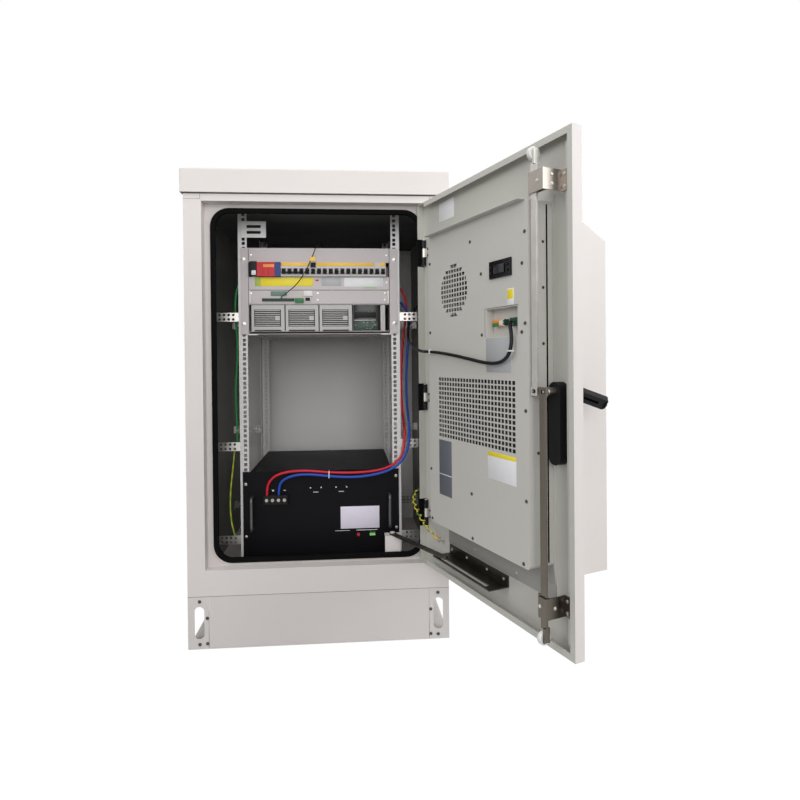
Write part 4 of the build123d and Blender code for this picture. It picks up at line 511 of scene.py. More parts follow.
class Finishes:
    """Every finish of the cabinet, by its use."""

    SHELL = PowderCoat("shell_paint", "cabinet_paint", tint(219, 213, 210), 0.48)
    PLINTH = PowderCoat("plinth_paint", "plinth_paint", tint(213, 208, 205), 0.5)
    PANEL = PowderCoat("ac_panel_paint", "cabinet_paint", tint(200, 198, 192), 0.46)
    # The shell's paint made lighter for the rear wall's inner face: painted light inside the cabinet.
    INSIDE = PowderCoat("rear_wall_painted_light", "cabinet_paint", tint(246, 243, 242), 0.36)
    RACK = PowderCoat("rack_paint", "rack_paint", tint(224, 222, 222), 0.45)
    UNIT = PowderCoat("power_unit_paint", "rack_paint", tint(198, 190, 190), 0.45)
    MODULE = PowderCoat("module_paint", "module_paint", tint(184, 181, 180), 0.42)
    BATTERY = PowderCoat("battery_paint", "battery_paint", tint(15, 15, 18), 0.5, 0.08)
    BLACK_METAL = PowderCoat("black_metal", "black_metal", tint(22, 22, 24), 0.42, 0.2)
    ZINC = ZincPlate("zinc_plate", "zinc_steel", tint(206, 203, 198), 0.34)
    ROD = ZincPlate("rod_steel", "zinc_steel", tint(112, 106, 97), 0.30, lines=(60.0, 60.0, 1.2))
    LOCK_STEEL = ZincPlate("lock_steel", "zinc_steel", tint(170, 162, 154), 0.32)
    TRACK = ZincPlate("stay_steel", "zinc_steel", tint(90, 86, 78), 0.36)
    DARK_SCREW = ZincPlate("dark_screw", "zinc_steel", tint(84, 80, 76), 0.4)
    SLOTTED = PowderCoat("slotted_plate_paint", "rack_paint", tint(230, 229, 229), 0.45)
    # Darker grey for the air conditioner's sill: a real flange with screws, its dark grey painted shade under
    # the housing.
    SILL_PAINTED_SHADE = PowderCoat("ac_sill_painted_shade", "cabinet_paint", tint(150, 148, 143), 0.46)
    # A darker copy of the shell paint for the door's inner side: painted shade on the side that lies in
    # shadow.
    DOOR = PowderCoat("door_painted_shade", "cabinet_paint", tint(196, 195, 188), 0.46)
    HANDLE = PowderCoat("handle_enamel", "black_metal", tint(58, 58, 60), 0.2, 0.9, peel=300.0)
    FOAM = Foam("lining_foam", "lining_foam", tint(132, 132, 128), 0.8, 0.4)
    # A darker copy of the lining foam for the ceiling: painted shade where little light reaches.
    CEILING_SHADE = Foam("ceiling_foam_painted_shade", "lining_foam", tint(100, 101, 101), 0.9, 0.2)
    SEAL = Foam("seal_rubber", "seal_rubber", tint(12, 13, 12), 0.75, 0.05)
    # Dark grey for the corner caps' seams, and for a painted shadow line under the roof's overhang.
    SEAM_AND_SHADOW = Finish("seam_shadow", "seal_rubber", tint(86, 84, 82), 0.8, 0.1)
    BLACK = Finish("black_plastic", "black_plastic", tint(20, 20, 22), 0.5, 0.2)
    GLOSS_BLACK = Finish("display_glass", "black_plastic", tint(15, 16, 18), 0.16, 0.3)
    BREAKER = Finish("breaker_plastic", "breaker_plastic", tint(206, 203, 202), 0.45)
    ARRESTER = Finish("arrester_red", "arrester_plastic", tint(198, 38, 46), 0.42, 0.3)
    ARRESTER_BLUE = Finish("arrester_blue", "arrester_plastic", tint(44, 60, 124), 0.42, 0.3)
    ROLLER = Finish("roller_nylon", "roller_plastic", tint(232, 232, 228), 0.4)
    CONNECTOR = Finish("connector_green", "connector_green", tint(42, 122, 66), 0.42, 0.3)
    DULL_GREEN = Finish("socket_green", "connector_green", tint(98, 128, 112), 0.5)
    BOARD = BoardFinish("board_green", "connector_green", tint(26, 66, 48), 0.45)
    COIL = FinStack("coil_fins", "coil_aluminium", tint(62, 66, 76), 0.5)
    BUTTON = Finish("button_red", "button_red", tint(200, 44, 48), 0.3)
    ROCKER = Finish("rocker_green", "rocker_green", tint(120, 200, 92), 0.3)
    GREEN_WIRE = Sheath("green_sheath", "green_sheath", tint(44, 150, 70), 0.38, 0.3)
    YELLOW_WIRE = Sheath("yellow_sheath", "yellow_sheath", tint(222, 212, 70), 0.38, 0.3,
                         stripe=tint(150, 190, 70), turns=20.0)
    CURLY = Sheath("curly_sheath", "yellow_sheath", tint(228, 206, 52), 0.4, 0.3,
                   stripe=tint(96, 132, 56), turns=42.0)
    RED_WIRE = Sheath("red_sheath", "red_sheath", tint(208, 34, 54), 0.36, 0.3)
    BLUE_WIRE = Sheath("blue_sheath", "blue_sheath", tint(36, 78, 178), 0.36, 0.3)
    BLACK_WIRE = Sheath("black_sheath", "black_plastic", tint(20, 20, 22), 0.4, 0.2)
    LABEL_WHITE = PrintedField("label_white", "rack_paint", tint(236, 236, 238), 0.4)
    LABEL_LILAC = PrintedField("label_lilac", "rack_paint", tint(232, 226, 240), 0.4)
    LABEL_GREEN = PrintedField("label_green", "rack_paint", tint(168, 186, 60), 0.4)
    LABEL_ORANGE = PrintedField("label_orange", "arrester_plastic", tint(238, 150, 66), 0.4)
    SCREEN = PrintedField("display_screen", "black_plastic", tint(44, 48, 52), 0.2, 0.3)
    DARK_GREEN = Finish("terminal_green", "connector_green", tint(34, 62, 50), 0.5, 0.3)
    LABEL_YELLOW = PrintedField("label_yellow", "rack_paint", tint(242, 222, 36), 0.4)
    LABEL_AMBER = PrintedField("label_amber", "breaker_plastic", tint(248, 196, 60), 0.4)
    LABEL_GREY = PrintedField("label_grey", "cabinet_paint", tint(176, 178, 180), 0.36)
    LABEL_BLUE = PrintedField("label_blue_grey", "cabinet_paint", tint(100, 104, 112), 0.42, 0.3)


FRONT_AXES = Matrix(((1.0, 0.0, 0.0, 0.0), (0.0, 0.0, -1.0, 0.0), (0.0, 1.0, 0.0, 0.0), (0.0, 0.0, 0.0, 1.0)))
EDGE_AXES = Matrix(((0.0, 0.0, 1.0, 0.0), (0.0, 1.0, 0.0, 0.0), (-1.0, 0.0, 0.0, 0.0), (0.0, 0.0, 0.0, 1.0)))


@dataclass(frozen=True)
class Surface:
    """A flat surface of a body.

    Attributes:
        body: The body.
        place: Axes whose third way faces out of the surface.
    """

    body: Body
    place: Matrix

    @classmethod
    def side(cls, turn: float) -> "Surface":
        """Gives a side of the cabinet, turned from the front about the upright."""
        return cls(Body.CABINET, Matrix.Rotation(turn, 4, "Z") @ FRONT_AXES)


FRONT = Surface.side(0.0)
REAR = Surface.side(HALF_TURN)
LEFT_SIDE = Surface.side(-QUARTER_TURN)
RIGHT_SIDE = Surface.side(QUARTER_TURN)
INSIDE = Surface(Body.CABINET, Matrix.Identity(4))


def put(name: str, data: bpy.types.ID) -> bpy.types.Object:
    """Makes an object from its data and links it into the scene.

    Args:
        name: The object's name.
        data: Its mesh, curve, lamp or camera.

    Returns:
        The object.
    """
    made = bpy.data.objects.new(name, data)
    bpy.context.scene.collection.objects.link(made)
    return made


def as_mesh(name: str, mesh: bmesh.types.BMesh, material: bpy.types.Material) -> bpy.types.Mesh:
    """Turns a built mesh into mesh data and frees it.

    Args:
        name: The data's name.
        mesh: The built mesh.
        material: Its only material.

    Returns:
        The mesh data.
    """
    data = bpy.data.meshes.new(name)
    mesh.to_mesh(data)
    mesh.free()
    data.materials.append(material)
    return data


class PanHead:
    """A pan-head screw's parts, as shares of its head's radius, and how many sides they have."""

    WASHER = 1.35
    WASHER_THICK = 0.22
    WASHER_ROUND = 0.06
    WASHER_SIDES = 24
    HEAD_FROM = 0.2
    HEAD_THICK = 0.55
    HEAD_ROUND = 0.28
    HEAD_SIDES = 20
    RECESS_FROM = 0.72
    RECESS = (1.1, 0.2, 0.12)


@dataclass
class Forge:
    """Gathers solids into one mesh piece that rides on a body.

    Attributes:
        name: The piece's name.
        finish: Its finish.
        surface: The surface that it stands on and whose axes its sizes are given in.
        EDGE_ROUND: The usual rounding of a block's edges.
        RIM_ROUND: The usual rounding of a drum's rims.
        DRUM_SIDES: How many sides a drum usually has.
        ROUND_STEPS: How many faces each rounding has.
        FLAT_CORNERS: More corners than this make a face a drum's end.
        SHARP: The angle from which an edge is sharp.
        OUT: The way out of the surface.
    """

    name: str
    finish: Finish
    surface: Surface
    EDGE_ROUND: ClassVar[float] = 0.0004
    RIM_ROUND: ClassVar[float] = 0.0003
    DRUM_SIDES: ClassVar[int] = 28
    ROUND_STEPS: ClassVar[int] = 2
    FLAT_CORNERS: ClassVar[int] = 4
    SHARP: ClassVar[float] = math.radians(35)
    OUT: ClassVar[Vector] = Vector((0.0, 0.0, 1.0))

    def __post_init__(self) -> None:
        """Starts an empty mesh."""
        self.mesh = bmesh.new()

    def _round(self, edges: Iterable[bmesh.types.BMEdge], width: float, clamp: bool) -> None:
        """Rounds edges by a width, which is held back where they meet if asked."""
        if width > 0:
            bmesh.ops.bevel(self.mesh, geom=list(set(edges)), offset=width, segments=self.ROUND_STEPS,
                            affect="EDGES", profile=HALF, clamp_overlap=clamp)

    def block(self, low: Point, high: Point, bevel: float = EDGE_ROUND) -> "Forge":
        """Adds a block with rounded edges between two corners.

        Args:
            low: The lowest corner.
            high: The highest corner.
            bevel: The rounding of its edges.

        Returns:
            The forge, for the next solid.
        """
        middle = Vector((a + b) / 2 for a, b in zip(low, high))
        size = Matrix.Diagonal((*(abs(b - a) for a, b in zip(low, high)), 1.0))
        made = bmesh.ops.create_cube(self.mesh, size=1.0, matrix=Matrix.Translation(middle) @ size)
        self._round((edge for vert in made["verts"] for edge in vert.link_edges), bevel, True)
        return self

    def drum(self, centre: Point, radius: float, length: float, bevel: float = RIM_ROUND,
             sides: int = DRUM_SIDES) -> "Forge":
        """Adds a round solid that stands out from a point.

        Args:
            centre: The middle of its first face.
            radius: Its radius.
            length: How far it stands out.
            bevel: The rounding of its rims.
            sides: How many sides it has.

        Returns:
            The forge, for the next solid.
        """
        turn = self.OUT.to_track_quat("Z", "Y").to_matrix().to_4x4()
        spot = Matrix.Translation(Vector(centre) + self.OUT * length / 2)
        made = bmesh.ops.create_cone(self.mesh, cap_ends=True, segments=sides, radius1=radius, radius2=radius,
                                     depth=length, matrix=spot @ turn)
        rims = [edge for vert in made["verts"] for edge in vert.link_edges
                if any(len(face.verts) > self.FLAT_CORNERS for face in edge.link_faces)]
        self._round(rims, bevel, False)
        return self

    def screw(self, centre: Point, radius: float) -> None:
        """Adds a pan head with a washer and a cross recess.

        Args:
            centre: The point under the head.
            radius: The head's radius.
        """
        middle = Vector(centre)
        head = tuple(middle + self.OUT * radius * PanHead.HEAD_FROM)
        self.drum(centre, radius * PanHead.WASHER, radius * PanHead.WASHER_THICK,
                  radius * PanHead.WASHER_ROUND, PanHead.WASHER_SIDES)
        self.drum(head, radius, radius * PanHead.HEAD_THICK, radius * PanHead.HEAD_ROUND, PanHead.HEAD_SIDES)
        spot = Matrix.Translation(middle + self.OUT * radius * PanHead.RECESS_FROM)
        size = Matrix.Diagonal((*(radius * share for share in PanHead.RECESS), 1.0))
        side = self.OUT.orthogonal().normalized()
        for arm in (side, self.OUT.cross(side)):
            turn = Matrix((arm, self.OUT.cross(arm), self.OUT)).transposed().to_4x4()
            bmesh.ops.create_cube(self.mesh, size=1.0, matrix=spot @ turn @ size)

    def done(self) -> None:
        """Makes the object, smooth where it is round, and sets it on its body."""
        self.mesh.transform(self.surface.place)
        data = as_mesh(self.name, self.mesh, self.finish.material())
        data.shade_smooth()
        data.set_sharp_from_angle(angle=self.SHARP)
        made = put(self.name, data)
        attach(made, self.surface.body.value)
        LOG.info("%s rides on %s", self.name, self.surface.body.value)


def paint(finish: Finish, *nodes: str) -> None:
    """Gives a finish to CAD nodes.

    Args:
        finish: The finish.
        nodes: The nodes' names.
    """
    for name in nodes:
        slots = frame["nodes"][name].data.materials
        slots.clear()
        slots.append(finish.material())
        LOG.info("%s wears %s", name, finish.name)


def paint_part(node: str, finish: Finish, wanted: Callable[[Vector], bool]) -> None:
    """Gives another finish to some faces of a CAD node.

    Args:
        node: The node's name.
        finish: The finish.
        wanted: Says whether a face with this middle takes the finish.
    """
    data = frame["nodes"][node].data
    data.materials.append(finish.material())
    index = len(data.materials) - 1
    for face in data.polygons:
        if wanted(face.center):
            face.material_index = index


@dataclass
class DoorAxes:
    """The open door's own axes: along it from the hinge line, up, and towards the inside.

    Attributes:
        pivot: A point of the hinge line on the ground.
        along: The way from the hinge line to the free edge.
        inward: The way towards the inside of the closed cabinet.
    """

    pivot: Vector
    along: Vector
    inward: Vector

    @classmethod
    def from_joint(cls, name: str) -> "DoorAxes":
        """Reads the axes from the door's joint, whose low limit is the closed door.

        Args:
            name: The joint's name.

        Returns:
            The axes.
        """
        joint = next(item for item in frame["joints"] if item["name"] == name)
        angle = math.radians(-joint["range_deg"][0])
        x, y, _ = joint["pos_m"]
        along = Vector((-math.cos(angle), -math.sin(angle), 0.0))
        inward = Vector((-math.sin(angle), math.cos(angle), 0.0))
        return cls(Vector((x, y, 0.0)), along, inward)

    @cached_property
    def inner(self) -> Surface:
        """Gives the door's inner side, with the door's own axes."""
        turn = Matrix((self.along, Vector((0.0, 0.0, 1.0)), self.inward)).transposed().to_4x4()
        return Surface(Body.DOOR, Matrix.Translation(self.pivot) @ turn)

    @cached_property
    def outer(self) -> Surface:
        """Gives the door's outer side."""
        return Surface(Body.DOOR, self.inner.place @ Matrix.Rotation(HALF_TURN, 4, "Y"))

    @cached_property
    def edge(self) -> Surface:
        """Gives the door's free edge."""
        return Surface(Body.DOOR, self.inner.place @ EDGE_AXES)

    @cached_property
    def from_frame(self) -> Matrix:
        """Gives the matrix from the frame to door axes."""
        return self.inner.place.inverted()

    def point(self, along: float, up: float, inward: float) -> Point:
        """Gives a point of the door in the frame."""
        return tuple(self.inner.place @ Vector((along, up, inward)))


@dataclass(frozen=True)
class Patch:
    """A thin label, plate or board on a flat surface.

    Attributes:
        name: The piece's name.
        finish: Its finish.
        low: Its lower corner on the surface.
        high: Its upper corner on the surface.
        proud: How far it stands out.
        ROUND_SHARE: The rounding of its edges, as a share of how far it stands out.
        ROUND_MOST: The most that its edges are rounded.
    """

    name: str
    finish: Finish
    low: Spot
    high: Spot
    proud: float = 0.0004
    ROUND_SHARE: ClassVar[float] = 0.25
    ROUND_MOST: ClassVar[float] = 0.0006

    def lay(self, level: float, surface: Surface) -> None:
        """Lays the patch on a surface.

        Args:
            level: How far out the surface lies.
            surface: The surface.
        """
        bevel = min(self.proud * self.ROUND_SHARE, self.ROUND_MOST)
        piece = Forge(self.name, self.finish, surface)
        piece.block((*self.low, level), (*self.high, level + self.proud), bevel).done()


def stick(patches: Iterable[Patch], level: float, surface: Surface) -> None:
    """Lays patches on a surface that lies out at a level."""
    for patch in patches:
        patch.lay(level, surface)


@dataclass(frozen=True)
class ScrewSet:
    """Pan-head screws in a flat surface.

    Attributes:
        name: The piece's name.
        finish: The screws' finish.
        spots: Where they are on the surface.
        radius: The heads' radius.
    """

    name: str
    finish: Finish
    spots: tuple[Spot, ...]
    radius: float = 0.0030

    def drive(self, level: float, surface: Surface) -> None:
        """Sets the screws in a surface.

        Args:
            level: How far out the surface lies.
            surface: The surface.
        """
        piece = Forge(self.name, self.finish, surface)
        for spot in self.spots:
            piece.screw((*spot, level), self.radius)
        piece.done()


def mirrored(*spots: Spot) -> tuple[Spot, ...]:
    """Gives each spot with its mirror image on the other side of the middle."""
    return tuple((side * across, up) for across, up in spots for side in (-1, 1))


def column(across: float, *levels: float) -> tuple[Spot, ...]:
    """Gives spots above each other."""
    return tuple((across, up) for up in levels)


def level_row(up: float, *places: float) -> tuple[Spot, ...]:
    """Gives spots beside each other."""
    return tuple((across, up) for across in places)


@dataclass
class CabinetShell:
    """The plinth, the sheet-metal shell, its linings and its seal."""

    half: float = 0.375
    screw_radius: float = 0.0036
    ceiling: float = 1.26
    skin_slack: float = 0.0005
    plinth_screws: tuple[Spot, ...] = mirrored(
        (0.342, 0.136), (0.3205, 0.088), (0.3205, 0.0157), (0.342, 0.014))
    wall_screws: tuple[Spot, ...] = mirrored((0.300, 1.276))
    rear_screws: tuple[Spot, ...] = mirrored(*column(0.355, 0.200, 0.460, 0.720, 0.980, 1.240))
    seams_and_shadow: tuple[Patch, ...] = (
        Patch("cap_seam_left", Finishes.SEAM_AND_SHADOW, (-0.3750, 1.2801), (-0.3285, 1.2808), 0.0002),
        Patch("cap_seam_right", Finishes.SEAM_AND_SHADOW, (0.3285, 1.2801), (0.3750, 1.2808), 0.0002),
        Patch("cap_edge_left", Finishes.SEAM_AND_SHADOW, (-0.3285, 1.2801), (-0.3278, 1.2975), 0.0002),
        Patch("cap_edge_right", Finishes.SEAM_AND_SHADOW, (0.3278, 1.2801), (0.3285, 1.2975), 0.0002),
        # A painted shadow where the roof overhangs the frame.
        Patch("roof_shadow_line", Finishes.SEAM_AND_SHADOW, (-0.3750, 1.2952), (0.3750, 1.2978), 0.0002),
        Patch("plinth_gap", Finishes.SEAM_AND_SHADOW, (-0.3750, 0.1492), (0.3750, 0.1502), 0.0002),
    )

    def dress(self) -> None:
        """Gives the shell its finishes and screws, and the front its seams and a painted shadow line under
        the roof.
        """
        paint(Finishes.SHELL, "front_frame", "left_wall", "right_wall", "roof_cover", "top_plate",
              "floor_plate")
        # The inner face takes the lighter copy of the shell paint as painted light; the outer face takes the
        # shell paint.
        paint(Finishes.INSIDE, "rear_wall")
        paint_part("rear_wall", Finishes.SHELL, lambda spot: spot.y > self.half - self.skin_slack)
        paint(Finishes.PLINTH, "plinth_frame", "plinth_panels")
        paint(Finishes.FOAM, "wall_linings")
        # The lining's faces on the ceiling take the darker copy of the foam as painted shade.
        paint_part("wall_linings", Finishes.CEILING_SHADE, lambda spot: spot.z > self.ceiling)
        paint(Finishes.SEAL, "door_gasket")
        stick(self.seams_and_shadow, self.half, FRONT)
        for name, finish, spots, surface in (
            ("plinth_front_screws", Finishes.DARK_SCREW, self.plinth_screws, FRONT),
            ("plinth_rear_screws", Finishes.DARK_SCREW, self.plinth_screws, REAR),
            ("rear_wall_screws", Finishes.ZINC, self.rear_screws, REAR),
            ("left_wall_screws", Finishes.ZINC, self.wall_screws, LEFT_SIDE),
            ("right_wall_screws", Finishes.ZINC, self.wall_screws, RIGHT_SIDE),
        ):
            ScrewSet(name, finish, spots, self.screw_radius).drive(self.half, surface)


@dataclass
class RackFrame:
    """The rack posts with their brackets."""

    bracket_face: float = 0.236
    screws: ScrewSet = ScrewSet("bracket_screws", Finishes.ZINC,
                                mirrored(*column(0.344, 0.962, 0.562, 0.273)), radius=0.0042)

    def dress(self) -> None:
        """Gives the posts and brackets their finishes and screws."""
        paint(Finishes.RACK, "front_posts", "rear_posts")
        paint(Finishes.SLOTTED, "slotted_plate")
        paint(Finishes.ZINC, "rack_brackets")
        self.screws.drive(self.bracket_face, FRONT)


@dataclass
class PowerUnit:
    """The power unit's fascia, breakers, rectifier modules and monitor."""

    face: float = 0.243
    nose: float = 0.252
    arrester_face: float = 0.256
    module_face: float = 0.246
    nose_slack: float = 0.0002
    toggle_zone: Spot = (1.0855, 1.1045)
    pocket_back: float = 0.2435
    blue_from: float = -0.136
    module_lefts: tuple[float, ...] = (-0.209, -0.105, -0.001)
    recess: Box = (0.0085, 0.925, 0.0895, 0.9775)
    slats: int = 9
    slat_share: float = 0.46
    slat_inset: float = 0.002
    slat_back: float = 0.0002
    slat_proud: float = 0.0014
    recess_proud: float = 0.0003
    recess_round: float = 0.0001
    grip: Box = (0.010, 0.9112, 0.090, 0.9146)
    grip_proud: float = 0.004
    screws: tuple[ScrewSet, ...] = (
        ScrewSet("unit_ear_screws", Finishes.ZINC, mirrored(*column(0.2326, 1.1333, 0.9342)), radius=0.0046),
        ScrewSet("unit_fascia_screws", Finishes.ZINC, (
            *mirrored((0.2095, 1.146)), (0.2095, 1.061), (-0.2105, 1.0275),
            *column(0.203, 1.0275, 1.0065), *column(-0.0065, 1.0275, 1.0065),
        ), radius=0.0026),
    )
    labels: tuple[Patch, ...] = (
        Patch("unit_yellow_label", Finishes.LABEL_YELLOW, (-0.180, 1.0500), (-0.020, 1.0770)),
        Patch("unit_green_label", Finishes.LABEL_GREEN, (-0.198, 1.0500), (-0.180, 1.0770)),
        Patch("unit_red_dot", Finishes.ARRESTER, (-0.012, 1.0655), (-0.003, 1.0705)),
        Patch("unit_grey_label", Finishes.LABEL_GREY, (0.006, 1.0510), (0.066, 1.0765)),
        Patch("unit_white_label", Finishes.LABEL_WHITE, (0.076, 1.0485), (0.198, 1.0770)),
        Patch("unit_green_line", Finishes.ROCKER, (0.138, 1.0435), (0.176, 1.0465)),
        Patch("connector_white_block", Finishes.ROLLER, (-0.049, 1.0190), (-0.022, 1.0362), 0.004),
        Patch("socket_frame", Finishes.BREAKER, (-0.048, 1.0005), (-0.026, 1.0165), 0.002),
        Patch("socket_opening", Finishes.BLACK, (-0.0445, 1.0040), (-0.0295, 1.0145), 0.0024),
        Patch("signal_socket", Finishes.DULL_GREEN, (-0.150, 1.0205), (-0.101, 1.0340), 0.003),
        Patch("terminal_strip", Finishes.DARK_GREEN, (-0.176, 1.0035), (-0.078, 1.0120), 0.006),
        Patch("terminal_plug", Finishes.CONNECTOR, (-0.076, 0.9985), (-0.050, 1.0125), 0.006),
        Patch("feed_block", Finishes.BLACK, (-0.2125, 1.0820), (-0.1903, 1.1250), 0.012),
        Patch("feed_plug", Finishes.ROLLER, (-0.2060, 1.0830), (-0.1930, 1.0970), 0.0132),
        Patch("unit_edge_left", Finishes.SLOTTED, (-0.2158, 0.9965), (-0.2118, 1.0370), 0.001),
        Patch("unit_edge_right", Finishes.SLOTTED, (0.2118, 0.9965), (0.2158, 1.0370), 0.001),
        Patch("panel_seam", Finishes.BLACK, (-0.216, 1.0370), (0.216, 1.0386), 0.0002),
        Patch("ear_seam_left", Finishes.BLACK, (-0.2178, 0.9050), (-0.2165, 1.1660), 0.0002),
        Patch("ear_seam_right", Finishes.BLACK, (0.2165, 0.9050), (0.2178, 1.1660), 0.0002),
        Patch("monitor_back", Finishes.GLOSS_BLACK, (0.1035, 0.9110), (0.1885, 0.9908)),
        Patch("monitor_side", Finishes.UNIT, (0.1890, 0.9110), (0.1955, 0.9700), 0.001),
        Patch("monitor_board", Finishes.BOARD, (0.1065, 0.9135), (0.1800, 0.9400), 0.0016),
        Patch("monitor_tray", Finishes.BREAKER, (0.1065, 0.9425), (0.1740, 0.9450), 0.0022),
        Patch("monitor_plugs", Finishes.BLACK, (0.1065, 0.9520), (0.1740, 0.9680), 0.006),
        Patch("monitor_board_upper", Finishes.BOARD, (0.1085, 0.9690), (0.1700, 0.9730), 0.001),
    )
    nose_labels: tuple[Patch, ...] = (
        Patch("breaker_strip_left", Finishes.LABEL_AMBER, (-0.117, 1.1110), (-0.029, 1.1215)),
        Patch("breaker_strip_middle", Finishes.LABEL_AMBER, (-0.009, 1.1110), (0.169, 1.1215)),
        Patch("breaker_strip_right", Finishes.LABEL_AMBER, (0.187, 1.1110), (0.205, 1.1215)),
        Patch("breaker_strip_gap", Finishes.BLACK, (-0.027, 1.1060), (-0.011, 1.1215), 0.0006),
    )
    arrester_label: Patch = Patch("arrester_label", Finishes.LABEL_ORANGE, (-0.171, 1.1065),
                                  (-0.137, 1.1155))

    def _breakers(self) -> None:
        """Dresses the breakers, their toggles and the arresters."""
        paint(Finishes.BREAKER, "breaker_bank")
        paint_part("breaker_bank", Finishes.BLACK, self._is_toggle)
        paint(Finishes.BLACK, "main_toggle", "breaker_toggle_5", "breaker_toggle_6", "breaker_toggle_18")
        paint(Finishes.ARRESTER, "surge_arresters")
        paint_part("surge_arresters", Finishes.ARRESTER_BLUE, lambda spot: spot.x > self.blue_from)
        stick(self.nose_labels, self.nose, FRONT)
        self.arrester_label.lay(self.arrester_face, FRONT)

    def _is_toggle(self, spot: Vector) -> bool:
        """Says whether a face of the breakers belongs to a toggle or its pocket."""
        low, high = self.toggle_zone
        in_pocket = spot.y < -self.pocket_back and abs(spot.y + self.nose) > self.nose_slack
        return low < spot.z < high and in_pocket

    def _modules(self) -> None:
        """Dresses the rectifiers' fronts with slats over a black sheet, which is painted shade for the vents'
        recess.
        """
        paint(Finishes.MODULE, "rectifier_modules")
        face = self.module_face
        left, bottom, right, top = self.recess
        grip_left, grip_low, grip_right, grip_high = self.grip
        pitch = (top - bottom) / self.slats
        # Black sheets as painted shade behind the slats, where the vents' recess would be dark.
        dark = Forge("rectifier_vent_shade", Finishes.BLACK, FRONT)
        slats = Forge("rectifier_slats", Finishes.MODULE, FRONT)
        grips = Forge("rectifier_grips", Finishes.BLACK_METAL, FRONT)
        for start in self.module_lefts:
            dark.block((start + left, bottom, face), (start + right, top, face + self.recess_proud),
                       self.recess_round)
            for row in range(self.slats):
                low = bottom + pitch * (row + HALF - self.slat_share / 2)
                high = low + pitch * self.slat_share
                slats.block((start + left + self.slat_inset, low, face + self.slat_back),
                            (start + right - self.slat_inset, high, face + self.slat_proud))
            grips.block((start + grip_left, grip_low, face),
                        (start + grip_right, grip_high, face + self.grip_proud))
        for piece in (dark, slats, grips):
            piece.done()

    def dress(self) -> None:
        """Gives the power unit its finishes and details."""
        paint(Finishes.UNIT, "power_case", "power_fascia")
        paint(Finishes.MODULE, "monitor_module")
        self._breakers()
        self._modules()
        stick(self.labels, self.face, FRONT)
        for screws in self.screws:
            screws.drive(self.face, FRONT)


@dataclass
class BatteryUnit:
    """The battery unit's case, handles, terminals and controls."""

    face: float = 0.243
    terminal_middles: tuple[float, ...] = (-0.167, -0.149, -0.131, -0.113)
    terminal_face: float = 0.2583
    terminal_reach: float = 0.0052
    screws: tuple[ScrewSet, ...] = (
        ScrewSet("battery_ear_screws", Finishes.LOCK_STEEL,
                 (*column(-0.2326, 0.4392, 0.2770), *column(0.2326, 0.4550, 0.2920)), radius=0.0035),
        ScrewSet("battery_port_screws", Finishes.ZINC,
                 level_row(0.4235, -0.0345, -0.0015, 0.0445, 0.0775), radius=0.0015),
    )
    labels: tuple[Patch, ...] = (
        Patch("battery_white_label", Finishes.LABEL_LILAC, (0.058, 0.293), (0.179, 0.362)),
        Patch("battery_mark_left", Finishes.LABEL_WHITE, (0.040, 0.2862), (0.086, 0.2875)),
        Patch("battery_mark_right", Finishes.LABEL_WHITE, (0.106, 0.2862), (0.172, 0.2880)),
        Patch("port_mark_left", Finishes.LABEL_WHITE, (-0.026, 0.4090), (-0.010, 0.4108)),
        Patch("port_mark_right", Finishes.LABEL_WHITE, (0.053, 0.4090), (0.069, 0.4108)),
        Patch("pole_mark_left", Finishes.LABEL_WHITE, (-0.1525, 0.4155), (-0.1465, 0.4200)),
        Patch("pole_mark_right", Finishes.LABEL_WHITE, (-0.1170, 0.4165), (-0.1100, 0.4188)),
    )

    def _is_screw(self, spot: Vector) -> bool:
        """Says whether a face of the terminal block belongs to one of its screws."""
        near = any(abs(spot.x - middle) < self.terminal_reach for middle in self.terminal_middles)
        return near and spot.y < -self.terminal_face

    def dress(self) -> None:
        """Gives the battery unit its finishes and details."""
        paint(Finishes.BATTERY, "battery_case")
        paint(Finishes.HANDLE, "battery_handles")
        paint(Finishes.BLACK, "battery_terminals")
        paint_part("battery_terminals", Finishes.LOCK_STEEL, self._is_screw)
        paint(Finishes.BUTTON, "battery_button")
        paint(Finishes.ROCKER, "battery_rocker")
        stick(self.labels, self.face, FRONT)
        for screws in self.screws:
            screws.drive(self.face, FRONT)


